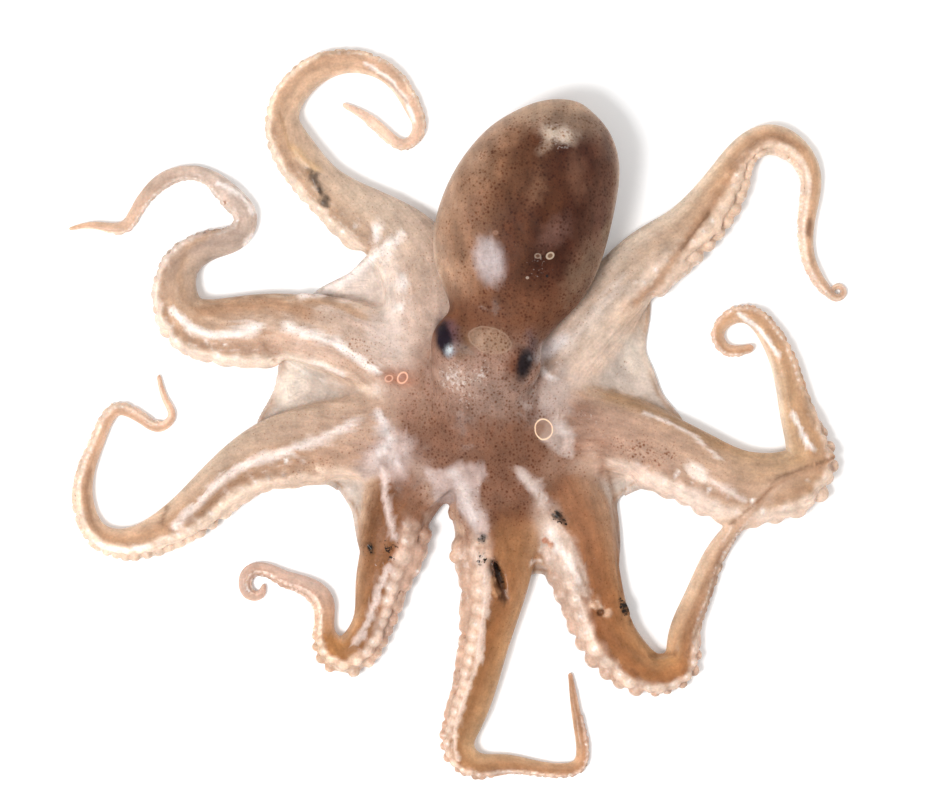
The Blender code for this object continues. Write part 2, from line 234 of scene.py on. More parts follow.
# lobes, crusts and torn bits on the arms: x, y, half length, half width, height, angle, colour
crusts = [
    (-8.6, -24.6, 3.4, 3.0, 1.0, 80, (0.60, 0.40, 0.29)),
    (-7.8, -31.2, 2.0, 2.0, 0.9, 80, (0.62, 0.42, 0.31)),
    (-8.6, -19.0, 2.6, 1.4, 0.7, 84, (0.42, 0.25, 0.17)),
    (-46.2, 70.4, 2.7, 1.2, 0.7, 118, (0.050, 0.034, 0.026)),
    (-44.6, 67.2, 1.2, 0.4, 0.2, 110, (0.05, 0.03, 0.02)),
    (-43.3, 64.3, 2.4, 1.7, 0.9, 118, (0.062, 0.045, 0.032)),
    (19.8, -20.6, 2.9, 0.9, 0.7, -56, (0.030, 0.019, 0.014)),
    (18.2, -20.0, 1.6, 0.5, 0.4, -50, (0.10, 0.06, 0.04)),
    (37.4, -45.0, 2.8, 1.1, 0.6, -62, (0.030, 0.014, 0.009)),
    (39.0, -48.6, 1.3, 0.6, 0.3, -60, (0.05, 0.022, 0.012)),
    (29.6, -44.2, 1.6, 1.1, 0.8, -20, (0.66, 0.46, 0.33)),
    (32.9, -46.6, 1.2, 0.9, 0.8, 30, (0.62, 0.40, 0.27)),
    (31.0, -46.3, 0.8, 0.6, -0.6, 0, (0.08, 0.03, 0.015)),
    (16.2, -27.0, 1.0, 0.5, 0.7, 20, (0.40, 0.15, 0.08)),
    (17.4, -28.0, 1.0, 0.45, 0.7, 100, (0.42, 0.17, 0.09)),
    (2.5, -40.2, 2.6, 0.9, 0.8, -62, (0.44, 0.23, 0.12)),
    (1.8, -37.4, 1.2, 0.6, 0.6, -40, (0.46, 0.26, 0.15)),
    (3.6, -35.8, 4.6, 0.75, -0.9, -70, (0.020, 0.009, 0.005)),
    (-0.9, -26.0, 1.3, 1.1, 0.4, 0, (0.05, 0.045, 0.04)),
    (-31.0, -29.0, 1.7, 0.6, -0.4, -62, (0.035, 0.018, 0.010)),
]
crustForm = {
    "margin": 1.5, "root": 0.35, "join": 0.4,  # mm: room round it, how deep it is set, softness
    "spill": 0.25, "sootSpill": 0.6, "sootBelow": 0.045, "soot": 1.1,  # its colour runs past its edge
}


def smoothPath(points, step):
    # natural cubic curve through the points, sampled every step along their chords
    points = np.array(points, float)
    knots = np.append(0, np.cumsum(np.linalg.norm(np.diff(points[:, :2], axis=0), axis=1)))
    gaps = np.diff(knots)
    slopes = np.diff(points, axis=0) / gaps[:, None]
    matrix = np.eye(len(points))
    turns = np.zeros_like(points)
    for i in range(1, len(points) - 1):
        matrix[i, i - 1:i + 2] = gaps[i - 1], 2 * (gaps[i - 1] + gaps[i]), gaps[i]
        turns[i] = 6 * (slopes[i] - slopes[i - 1])
    bends = np.linalg.solve(matrix, turns)
    places = np.linspace(0, knots[-1], int(knots[-1] / step) + 2)
    k = np.clip(np.searchsorted(knots, places, side="right") - 1, 0, len(gaps) - 1)
    t = (places - knots[k])[:, None]
    gap = gaps[k][:, None]
    first = slopes[k] - gap * (2 * bends[k] + bends[k + 1]) / 6
    return points[k] + t * (first + t * (bends[k] / 2 + t * (bends[k + 1] - bends[k]) / (6 * gap)))


def step01(low, high, value):
    # 0 below low, 1 above high, and a smooth cubic between them
    t = np.clip((value - low) / (high - low), 0, 1)
    return t * t * (3 - 2 * t)


def softLeast(a, b, reach):
    # the lesser of two distances, rounded where they differ by less than reach
    h = np.clip(reach - np.abs(a - b), 0, None) / reach
    return np.minimum(a, b) - h * h * reach / 4


def softMost(a, b, reach):
    # the greater of two distances, rounded in the same way
    return -softLeast(-a, -b, reach)


def waves(points, length, count=18, seed=3):
    # smooth noise from -1 to 1: a sum of plane waves of about one length in random directions
    source = np.random.default_rng(seed)
    ways = source.normal(size=(count, 3))
    size = np.linalg.norm(ways, axis=1)
    ways *= (2 * np.pi / length / size * source.uniform(0.6, 1.5, count))[:, None]
    shift = source.uniform(0, 2 * np.pi, count)
    return np.sin(points @ ways.T + shift).sum(axis=1) / math.sqrt(count / 2) / 1.6


def strokeDistance(points, x, y):
    # distance from each place to a run of straight pieces: for each piece, to its point at
    # t = (place - start) . piece / piece^2, kept from 0 to 1
    best = np.full(x.shape, 1e9)
    for (ax, ay), (bx, by) in zip(points, points[1:]):
        dx, dy = bx - ax, by - ay
        t = np.clip(((x - ax) * dx + (y - ay) * dy) / (dx * dx + dy * dy), 0, 1)
        best = np.minimum(best, np.hypot(x - ax - t * dx, y - ay - t * dy))
    return best


def ovalFrame(x, y, centreX, centreY, angle):
    # places along and across an oval that is turned by an angle in degrees
    c, s = math.cos(math.radians(angle)), math.sin(math.radians(angle))
    dx = x - centreX
    dy = y - centreY
    return dx * c + dy * s, dy * c - dx * s


def layArm(name):
    # stations along an arm: its height is its width times a share that falls as it widens, its
    # middle line gives way to the suckers, and it rises by a smooth cubic where it crosses another
    arm = arms[name]
    path = smoothPath(arm["route"], armForm["station"])
    width = np.maximum(path[:, 2], arm["route"][-1][2])
    full = np.cumsum(np.append(0, np.hypot(np.diff(path[:, 0]), np.diff(path[:, 1]))))
    trimFrom, trimTo = (arm["suckersFrom"] + past for past in armForm["trimEase"])
    trim = armForm["trim"] * width * step01(trimFrom, trimTo, full)
    share = np.minimum(width / armForm["wideFrom"], 1)
    height = width * (armForm["slim"] + (armForm["wide"] - armForm["slim"]) * share)
    way = np.gradient(path[:, :2], axis=0)
    way /= np.linalg.norm(way, axis=1)[:, None]
    left = np.column_stack([-way[:, 1], way[:, 0]])
    line = path[:, :2] - left * (arm["side"] * trim / 2)[:, None]
    middle = height / 2 - np.minimum(armForm["sink"], height * armForm["thinSink"])
    along = np.linspace(0, 1, len(path))
    if name == armForm["crossing"]:
        rise = np.clip(2 * (along - armForm["crossingFrom"]) / (1 - armForm["crossingFrom"]), 0, 1)
        middle = middle + armForm["crossingLift"] * rise * rise * (3 - 2 * rise)
    arm.update(
        x=line[:, 0], y=line[:, 1], way=way, left=left, halfWidth=(width - trim) / 2,
        halfHeight=height / 2, middle=middle, share=along, length=full,
        tilt=np.radians(np.interp(along, armForm["rollEase"], arm["roll"])),
    )


def placeOn(arm, x, y):
    # nearest station of an arm, by distance less half width, and the offset to the left of it;
    # past either end the offset is the straight distance, which rounds the end
    best = np.full(x.size, np.inf, np.float32)
    pick = np.zeros(x.size, np.int32)
    for first in range(0, len(arm["x"]), 12):
        part = slice(first, first + 12)
        gap = np.hypot(x[:, None] - arm["x"][None, part], y[:, None] - arm["y"][None, part])
        gap = (gap - arm["halfWidth"][None, part]).astype(np.float32)
        least = gap.argmin(axis=1)
        value = gap[np.arange(x.size), least]
        closer = value < best
        best[closer] = value[closer]
        pick[closer] = first + least[closer]
    dx = x - arm["x"][pick]
    dy = y - arm["y"][pick]
    ahead = dx * arm["way"][pick, 0] + dy * arm["way"][pick, 1]
    across = dx * arm["left"][pick, 0] + dy * arm["left"][pick, 1]
    last = len(arm["x"]) - 1
    past = ((pick == last) & (ahead > 0)) | ((pick == 0) & (ahead < 0))
    across = np.where(past, np.where(across < 0, -1, 1) * np.hypot(dx, dy), across)
    station = np.clip(pick + ahead / armForm["station"], 0, last)
    numbers = np.arange(last + 1)
    place = {key: np.interp(station, numbers, arm[key])
             for key in ("halfWidth", "halfHeight", "middle", "share", "tilt")}
    place["across"] = across
    return place


def armDistance(arm, place, z):
    # distance to an oval section, less a flat face turned towards the suckers: with r how far out
    # a place is as a share of the oval, r (r - 1) over the steepness of r
    a, b = place["halfWidth"], place["halfHeight"]
    u = place["across"]
    v = z - place["middle"]
    near = np.sqrt((u / a) ** 2 + (v / b) ** 2)
    oval = near * (near - 1) / (np.sqrt((u / a / a) ** 2 + (v / b / b) ** 2) + 1e-5)
    oval = np.where(near < 0.05, -np.minimum(a, b), oval)
    outX = arm["side"] * np.cos(place["tilt"])
    outZ = np.sin(place["tilt"])
    reach = np.sqrt((a * outX) ** 2 + (b * outZ) ** 2)
    face = u * outX + v * outZ - armForm["oralFlat"] * reach
    return softMost(oval, face, armForm["oralRound"] * b)


def webReach(angle):
    # distance of the margin from the mouth: straight between its corners, then a running mean
    # with the weights exp(-(degrees / ease)^2)
    corners, reaches = np.array(web["margin"], float).T
    fine = np.arange(-180, 180, 1.0)
    reach = np.interp(fine, corners, reaches, period=360)
    span = web["easeSpan"]
    weights = np.exp(-(np.arange(-span, span + 1) / web["ease"]) ** 2)
    ring = np.concatenate([reach[-span:], reach, reach[:span]])
    reach = np.convolve(ring, weights / weights.sum(), "valid")
    return np.interp(angle, fine, reach, period=360)


def webTop(x, y):
    # height of the web: edge + (crown - edge) exp(-(distance from the mouth / spread)^2)
    return web["edge"] + (web["crown"] - web["edge"]) * np.exp(-(x * x + y * y) / web["spread"] ** 2)


def webMargin(x, y):
    # how far a place is outside the margin, less than 0 inside
    far = np.hypot(x, y)
    return far - webReach(np.degrees(np.arctan2(y, x)))


def webDistance(x, y, z):
    # inside where a place is both below the top and within the margin, with a rounded edge
    above = (z - webTop(x, y)) * web["slope"]
    return softMost(above, webMargin(x, y) * web["slope"], web["rounding"])


def bodyProfile(y):
    # middle, ratio of height to width and product of the half axes; past the tip the product
    # falls below 0, so that the end closes round
    rows = np.array(body["sections"], float)
    a = rows[:, 2] / 2
    b = (rows[:, 4] - rows[:, 3]) / 2
    table = np.column_stack([rows[:, 0], np.zeros(len(rows)), rows[:, 1],
                             (rows[:, 3] + rows[:, 4]) / 2, b / a, a * b])
    fine = smoothPath(table, body["station"])
    at = np.clip(y, rows[0, 0], rows[-1, 0])
    x, z, ratio, product = (np.interp(at, fine[:, 0], fine[:, i]) for i in (2, 3, 4, 5))
    slope = np.interp(at, fine[:, 0], np.gradient(fine[:, 5], fine[:, 0]))
    product = product + slope * (y - at)
    return x, z, np.clip(ratio, *body["ratios"]), product, slope


def bodyDistance(x, y, z):
    # (ratio * dx^2 + dz^2 / ratio - product) over the length of its slope, joined softly to a
    # ball for the bulge of each eye
    middleX, middleZ, ratio, product, slope = bodyProfile(y)
    dx = x - middleX
    dz = z - middleZ
    value = ratio * dx * dx + dz * dz / ratio - product
    steep = np.sqrt((2 * ratio * dx) ** 2 + (2 * dz / ratio) ** 2 + slope ** 2)
    near = value / np.maximum(steep, body["leastSlope"])
    for eyeX, eyeY, eyeZ, radius in body["eyes"]:
        dy = (y - eyeY) * body["eyeLong"]
        ball = np.sqrt((x - eyeX) ** 2 + dy ** 2 + (z - eyeZ) ** 2) - radius
        near = softLeast(near, ball, body["eyeJoin"])
    return near


def bodyJoin(y):
    # how softly the body runs into the arms: softly at the crown, with a crease at the mantle
    return body["join"] - body["joinFall"] * step01(body["fallFrom"], body["fallTo"], y)


suckerForm = {
    "size": 0.28, "largest": 5.2, "smallest": 0.8,  # share of the arm's width, mm, mm
    "spacing": 0.5, "vary": (0.82, 1.15), "lowest": 0.25,  # shares of its size
    "rowAngle": 30.0,  # degrees to either side of the middle of the sucker face
    # half lengths as shares of size: along the arm, across it, and out of it in the upper and
    # the lower row
    "along": 0.53, "across": 0.64, "out": (0.24, 0.42),
    "dimple": 0.12, "dimpleOut": 0.45, "dimpleJoin": 0.12, "join": 0.30,
    # painted shade in the crevices between suckers: stronger on the dark arms, faint on the rest
    "creviceShade": {"lowerHook": 0.5, "bottom": 0.5, "lowerRight": 0.45}, "faintCreviceShade": 0.16,
}


def laySuckers():
    # two staggered rows on each arm, one to either side of the middle of the sucker face, each
    # sucker where the oval section meets its angle: centre, outward normal, way of the arm, size,
    # how far it stands out as a share of size, and how dark the painted shade in the gap round it is
    rows = []
    up = np.array([0, 0, 1.0])
    for name, arm in arms.items():
        creviceShade = suckerForm["creviceShade"].get(name, suckerForm["faintCreviceShade"])
        place = arm["suckersFrom"]
        row = 0
        while place < arm["length"][-1]:
            i = int(np.searchsorted(arm["length"], place))
            a, b = arm["halfWidth"][i], arm["halfHeight"][i]
            size = min(suckerForm["size"] * 2 * a, suckerForm["largest"])
            if size < suckerForm["smallest"]:
                break
            angle = arm["tilt"][i] + math.radians(suckerForm["rowAngle"]) * (-1 if row else 1)
            side = np.array([*arm["left"][i], 0]) * arm["side"]
            out = side * math.cos(angle) / a + up * math.sin(angle) / b
            out /= np.linalg.norm(out)
            centre = np.array([arm["x"][i], arm["y"][i], arm["middle"][i]])
            centre += side * a * math.cos(angle) + up * b * math.sin(angle)
            centre[2] = max(centre[2], suckerForm["lowest"] * size)
            size *= rng.uniform(*suckerForm["vary"])
            rows.append([*centre, *out, *arm["way"][i], size, suckerForm["out"][row], creviceShade])
            place += suckerForm["spacing"] * size
            row = 1 - row
    return np.array(rows)


def blockRound(field, origin, step, centre, reach):
    # the part of the grid within reach of a centre, and the offsets of its points from there
    low = np.maximum(np.floor((centre - reach - origin) / step).astype(int), 0)
    high = np.minimum(np.ceil((centre + reach - origin) / step).astype(int) + 1, field.shape)
    block = tuple(slice(a, b) for a, b in zip(low, high))
    offsets = [origin[i] + step * np.arange(low[i], high[i]) - centre[i] for i in range(3)]
    return block, np.meshgrid(*offsets, indexing="ij")


def addSuckers(suckers, field, origin, step):
    # each sucker is a cushion, |p / half lengths| - 1, joined softly to the arm and less a small
    # softly cut ball in its face
    for sucker in suckers:
        centre, out, size = sucker[:3], sucker[3:6], sucker[8]
        way = np.array([*sucker[6:8], 0])
        broad = np.cross(out, way)
        block, (x, y, z) = blockRound(field, origin, step, centre, size)
        halves = size * suckerForm["along"], size * suckerForm["across"], size * sucker[9]
        far = np.sqrt(sum(((x * axis[0] + y * axis[1] + z * axis[2]) / half) ** 2
                          for axis, half in zip((way, broad, out), halves)))
        cushion = (far - 1) * min(halves)
        hollow = out * (sucker[9] + suckerForm["dimpleOut"] * suckerForm["dimple"]) * size
        hole = np.sqrt((x - hollow[0]) ** 2 + (y - hollow[1]) ** 2 + (z - hollow[2]) ** 2)
        hole -= suckerForm["dimple"] * size
        part = softLeast(field[block], cushion, suckerForm["join"] * size)
        field[block] = softMost(part, -hole, suckerForm["dimpleJoin"] * size)


def addCrusts(field, origin, step):
    # each crust is an oval lens, |p / half lengths| - 1, on the highest inside point of its
    # column, joined to the skin; one of less than no height is cut out instead
    for x, y, halfLong, halfShort, height, angle, _ in crusts:
        column = np.round((np.array([x, y]) - origin[:2]) / step).astype(int)
        inside = np.flatnonzero(field[column[0], column[1]] < 0)
        if not inside.size:
            continue
        centre = np.array([x, y, origin[2] + inside[-1] * step])
        reach = max(halfLong, abs(height)) + crustForm["margin"]
        block, (dx, dy, dz) = blockRound(field, origin, step, centre, reach)
        thick = abs(height) + crustForm["root"]
        u, v = ovalFrame(dx, dy, 0, 0, angle)
        far = np.sqrt((u / halfLong) ** 2 + (v / halfShort) ** 2 + (dz / thick) ** 2)
        lens = (far - 1) * min(halfShort, thick)
        joined = softLeast(field[block], lens, crustForm["join"])
        cut = softMost(field[block], -lens, crustForm["join"])
        field[block] = joined if height > 0 else cut


def skinField(suckers):
    # distance to the whole skin on a grid of upright columns: the soft least of the arms, the
    # suckers, the web and the body, cut flat at the floor
    step = skinGrid["step"]
    xs, ys, zs = (np.arange(a, b, step) for a, b in zip(skinGrid["low"], skinGrid["high"]))
    gridX, gridY = (flat.ravel() for flat in np.meshgrid(xs, ys, indexing="ij"))
    field = np.full((gridX.size, zs.size), skinGrid["clear"], np.float32)
    far = np.hypot(gridX, gridY)
    join = skinGrid["join"] * (1 - step01(*skinGrid["joinEase"], far))
    for x, y, reach in skinGrid["notches"]:
        near = np.exp(-((gridX - x) ** 2 + (gridY - y) ** 2) / reach ** 2)
        join *= 1 - skinGrid["notchDepth"] * near
    join += skinGrid["crease"]
    for name, arm in arms.items():
        band = arm["halfWidth"].max() + skinGrid["armBand"]
        near = np.flatnonzero((gridX > arm["x"].min() - band) & (gridX < arm["x"].max() + band)
                              & (gridY > arm["y"].min() - band) & (gridY < arm["y"].max() + band))
        place = placeOn(arm, gridX[near], gridY[near])
        close = np.abs(place["across"]) < place["halfWidth"] + skinGrid["armClose"]
        place = {key: value[close][:, None] for key, value in place.items()}
        near = near[close]
        distance = armDistance(arm, place, zs[None, :])
        field[near] = softLeast(field[near], distance, join[near][:, None])
        print("arm field", name, near.size)
    shape = (xs.size, ys.size, zs.size)
    origin = np.array([xs[0], ys[0], zs[0]])
    addSuckers(suckers, field.reshape(shape), origin, step)
    near = np.flatnonzero(far < skinGrid["webWithin"])
    distance = webDistance(gridX[near][:, None], gridY[near][:, None], zs[None, :])
    field[near] = softLeast(field[near], distance, join[near][:, None])
    middle, half, lowest, highest = skinGrid["bodyBox"]
    near = np.flatnonzero((np.abs(gridX - middle) < half) & (gridY > lowest) & (gridY < highest))
    distance = bodyDistance(gridX[near][:, None], gridY[near][:, None], zs[None, :])
    field[near] = softLeast(field[near], distance, bodyJoin(gridY[near])[:, None])
    field = np.maximum(field, -zs[None, :]).reshape(shape)
    addCrusts(field, origin, step)
    return field, origin


def surfaceNet(field, origin, step):
    # one point in each cell that the surface crosses, at the mean of the crossings of its
    # edges, and one quad round each crossed edge of the grid
    inside = field < 0
    some = np.zeros(np.array(field.shape) - 1, bool)
    every = np.ones_like(some)
    corners = [(i, j, k) for i in (0, 1) for j in (0, 1) for k in (0, 1)]
    for i, j, k in corners:
        part = inside[tuple(slice(a, size - 1 + a) for a, size in zip((i, j, k), inside.shape))]
        some |= part
        every &= part
    cells = np.argwhere(some & ~every)
    number = np.full(some.shape, -1, np.int32)
    number[tuple(cells.T)] = np.arange(len(cells))
    value = {c: field[cells[:, 0] + c[0], cells[:, 1] + c[1], cells[:, 2] + c[2]] for c in corners}
    total = np.zeros((len(cells), 3))
    count = np.zeros(len(cells))
    for c in corners:
        for axis in range(3):
            if c[axis]:
                continue
            d = tuple(c[i] + (i == axis) for i in range(3))
            crossed = (value[c] < 0) != (value[d] < 0)
            t = value[c] / np.where(crossed, value[c] - value[d], 1)
            point = np.tile(np.array(c, float), (len(cells), 1))
            point[:, axis] = t
            total += point * crossed[:, None]
            count += crossed
    points = origin + (cells + total / count[:, None]) * step
    quads = []
    for axis in range(3):
        u, v = (axis + 1) % 3, (axis + 2) % 3
        low = [slice(None)] * 3
        high = [slice(None)] * 3
        low[axis] = slice(0, -1)
        high[axis] = slice(1, None)
        changed = np.argwhere(inside[tuple(low)] != inside[tuple(high)])
        changed = changed[(changed[:, u] > 0) & (changed[:, v] > 0)
                          & (changed[:, u] < number.shape[u]) & (changed[:, v] < number.shape[v])]
        ring = []
        for du, dv in ((-1, -1), (0, -1), (0, 0), (-1, 0)):
            cell = changed.copy()
            cell[:, u] += du
            cell[:, v] += dv
            ring.append(number[tuple(cell.T)])
        ring = np.stack(ring, axis=1)
        outward = inside[tuple(changed.T)]
        quads.append(np.where(outward[:, None], ring, ring[:, ::-1]))
    return points, np.concatenate(quads)


def sampleField(field, origin, step, points):
    # value of the grid between its points: each corner of the cell, weighed by 1 - distance
    # along each axis
    at = (points - origin) / step
    low = np.clip(np.floor(at).astype(int), 0, np.array(field.shape) - 2)
    t = at - low
    total = np.zeros(len(points))
    for i, j, k in np.ndindex(2, 2, 2):
        weight = np.abs(1 - i - t[:, 0]) * np.abs(1 - j - t[:, 1]) * np.abs(1 - k - t[:, 2])
        total += weight * field[low[:, 0] + i, low[:, 1] + j, low[:, 2] + k]
    return total


def settle(field, origin, step, points, rounds=3):
    # slide each point down the slope of the field on to its zero level: by value * slope /
    # slope^2, and by less than a third of a step at a time
    offset, leastSlope, most = 0.6, 0.05, 0.3  # steps, and steps a round
    for _ in range(rounds):
        value = sampleField(field, origin, step, points)
        rises = [sampleField(field, origin, step, points + side)
                 - sampleField(field, origin, step, points - side) for side in np.eye(3) * offset * step]
        slope = np.stack(rises, axis=1) / (2 * offset * step)
        move = value[:, None] * slope / np.maximum((slope ** 2).sum(axis=1), leastSlope)[:, None]
        points = points - np.clip(move, -most * step, most * step)
    return points


def makePiece(name, points, faces):
    # a mesh of points in mm from the mouth, whose faces all have the same number of corners
    mesh = bpy.data.meshes.new(name)
    mesh.vertices.add(len(points))
    mesh.vertices.foreach_set("co", inFrame(points))
    mesh.loops.add(faces.size)
    mesh.loops.foreach_set("vertex_index", faces.astype(np.int32).ravel())
    mesh.polygons.add(len(faces))
    starts = np.arange(0, faces.size, faces.shape[1], dtype=np.int32)
    mesh.polygons.foreach_set("loop_start", starts)
    mesh.update(calc_edges=True)
    mesh.validate()
    piece = bpy.data.objects.new(name, mesh)
    bpy.context.scene.collection.objects.link(piece)
    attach(piece, "root")
    return piece


def inFrame(points):
    # mm from the mouth to metres in the frame, laid end to end
    return ((points + mouth) * metre).astype(np.float32).ravel()


def pointsOf(mesh):
    # the points of a mesh, in mm from the mouth
    flat = np.empty(len(mesh.vertices) * 3, np.float32)
    mesh.vertices.foreach_get("co", flat)
    return flat.reshape(-1, 3).astype(float) / metre - mouth


def normalsOf(mesh):
    # the outward normal at each point of a mesh
    flat = np.empty(len(mesh.vertices) * 3, np.float32)
    mesh.vertex_normals.foreach_get("vector", flat)
    return flat.reshape(-1, 3).astype(float)


# skin colours, all linear: zones of one colour that run softly into each other
zones = {
    "tip": (0.48, 0.325, 0.225), "rim": (0.54, 0.40, 0.31),
    "neck": (0.155, 0.060, 0.029), "head": (0.30, 0.175, 0.128), "crown": (0.150, 0.051, 0.022),
    "web": (0.50, 0.405, 0.345), "webInner": (0.43, 0.29, 0.215), "webLine": (0.30, 0.16, 0.085),
}
# mantle colours from its left side to its right: (share of the half width, colour); lighter on the left,
# towards the lamp, and darkest right of the middle, partly the skin's own colour and partly painted shade
mantleAcross = [
    (-1.0, 0.41, 0.265, 0.185), (-0.8, 0.35, 0.20, 0.125), (-0.5, 0.24, 0.115, 0.062),
    (-0.2, 0.092, 0.030, 0.013), (0.25, 0.052, 0.013, 0.005), (0.6, 0.060, 0.018, 0.009),
    (0.88, 0.145, 0.066, 0.040), (1.0, 0.27, 0.16, 0.11),
]
# tones used by many lines: pale ridges carrying a painted highlight, painted glints, and umber
filmSheen, glint, umber = (0.80, 0.68, 0.62), (0.92, 0.84, 0.79), (0.30, 0.16, 0.09)

# soft ovals: x, y, half length, half width, angle, softness, colour, strength
patches = [
    (11.5, 72.5, 9, 4.5, 60, 0.8, (0.115, 0.046, 0.022), 0.6),  # dark flecks on the mantle
    (6.5, 66, 10, 3.6, 72, 0.8, (0.13, 0.056, 0.028), 0.5),
    (17.8, 62, 11, 3.2, 76, 0.8, (0.095, 0.032, 0.012), 0.6),
    (31, 59, 7, 3, 80, 0.8, (0.105, 0.045, 0.030), 0.6),
    (9.5, 52, 13, 2.4, 82, 0.8, (0.100, 0.036, 0.015), 0.5),
    (13.2, 66, 5, 2.6, 70, 0.8, (0.25, 0.125, 0.07), 0.5),  # lighter ones between them
    (18, 55, 6, 3, 50, 0.8, (0.22, 0.115, 0.09), 0.5),
    (-3.2, 61, 6, 3, 60, 0.8, (0.27, 0.14, 0.09), 0.5),
    (24, 70, 6, 2.6, 95, 0.8, (0.25, 0.12, 0.07), 0.4),
    (26.5, 45.5, 10, 4.2, 60, 0.8, (0.21, 0.125, 0.078), 0.7),  # smoother lower right of the mantle
    (19.4, 80.9, 5.2, 2.4, -12, 0.7, (0.60, 0.47, 0.37), 0.9),  # pale fleck near the tip
    (15.8, 77.6, 3.2, 1.2, 40, 0.8, (0.48, 0.34, 0.25), 0.6),
    (1.0, 47.4, 6.4, 4.2, 104, 0.45, (0.46, 0.38, 0.37), 0.8),  # painted highlight of the lamp on the mantle, lilac white
    (1.1, 26.6, 5.6, 3.2, -17, 0.14, (0.31, 0.19, 0.125), 0.85),  # oval between the eyes
    (-8.3, 16.6, 6.4, 3.2, -12, 0.8, (0.50, 0.36, 0.29), 0.5),  # pale skin under the left eye
    (2, 11, 10, 6, 0, 0.8, (0.30, 0.20, 0.16), 0.6),
    (-6.0, 25.7, 2.4, 4.6, 10, 0.7, (0.13, 0.060, 0.024), 0.85),  # iris
    (-9.4, 28.6, 4.4, 2.8, 110, 0.7, (0.10, 0.050, 0.060), 0.85),
    (-11.0, 27.1, 5.0, 2.3, 100, 0.4, (0.010, 0.004, 0.010), 1.0),  # left eye
    (-9.6, 23.8, 1.9, 1.5, 80, 0.4, (0.24, 0.24, 0.26), 0.85),  # painted highlight on its lens
    (-9.6, 24.1, 1.1, 0.8, 80, 0.5, (0.52, 0.56, 0.58), 0.9),
    (10.0, 20.4, 6.4, 3.2, 74, 0.8, (0.060, 0.030, 0.024), 0.8),  # right eye
    (12.3, 25.0, 5.0, 1.7, 95, 0.8, (0.14, 0.085, 0.085), 0.7),
    (7.4, 20.2, 4.0, 2.3, 72, 0.7, (0.15, 0.045, 0.016), 0.85),
    (10.4, 20.7, 4.5, 2.4, 74, 0.5, (0.010, 0.006, 0.008), 0.97),
    (-19, 13, 9, 7, 0, 0.8, (0.36, 0.20, 0.14), 0.5),  # reddened skin round the left ring
    (-23.5, 17.0, 5.0, 2.6, -10, 0.7, (0.33, 0.12, 0.06), 0.75),
    (18, 12, 9, 6, 60, 0.8, (0.50, 0.40, 0.36), 0.7),  # pale skin right of the head
    (-19.5, -17.5, 8, 4.5, -65, 0.8, (0.20, 0.082, 0.040), 0.85),
    (-30.0, -22, 13, 2.6, 82, 0.8, (0.14, 0.055, 0.022), 0.85),
    (7.5, -30, 9, 5, -75, 0.8, (0.31, 0.145, 0.062), 0.6),
    (-22.5, 42.3, 2.6, 1.8, 90, 0.6, glint, 0.8),  # wet lights on the web of the upper left arm
    (-23.2, 35.5, 1.8, 1.5, 0, 0.6, glint, 0.8),
    (-29.5, 55.8, 3.6, 1.7, 80, 0.6, glint, 0.75),
    (-26, 30, 9, 7, 90, 0.8, (0.66, 0.54, 0.48), 0.6),  # pale, thin root of that arm
    (-36.5, 40.5, 9, 3.6, 28, 0.8, (0.72, 0.59, 0.52), 0.7),
    (-26.5, 45, 5, 10, 0, 0.8, (0.68, 0.56, 0.49), 0.6),
    (29, -7.5, 7, 3.4, -15, 0.8, (0.36, 0.21, 0.14), 0.75),
    # painted highlight on the dark crust
    (-43.2, 64.0, 0.9, 0.7, 0, 0.6, (0.20, 0.16, 0.15), 0.7),
    (57.0, -8.6, 3.8, 2.1, -38, 0.35, (0.86, 0.72, 0.63), 0.9),  # pale bead on the right arm, with a painted highlight
    (42, 23, 5.5, 8, 20, 0.7, (0.68, 0.57, 0.48), 0.7),  # thin pale webs
    (-53, 15.5, 6.5, 4.6, 60, 0.7, (0.82, 0.70, 0.60), 0.8),
    (-36, 17, 8, 4.5, -20, 0.8, (0.45, 0.28, 0.19), 0.6),
    (30, 30, 9, 6, 50, 0.8, (0.50, 0.39, 0.31), 0.5),
    (40, 33, 5, 7, 60, 0.8, (0.44, 0.27, 0.17), 0.5),
    (18.3, 25.2, 5.6, 2.3, 35, 0.7, (0.74, 0.67, 0.66), 0.85),  # cold light beside the neck
    (16.9, 17.6, 2.2, 0.9, -35, 0.8, (0.88, 0.80, 0.77), 0.6),
    (32.3, 55.2, 2.8, 1.5, 75, 0.5, (0.25, 0.17, 0.11), 0.7),
    (-42.5, 38.4, 4.5, 1.5, 8, 0.7, (0.28, 0.16, 0.09), 0.7),
]
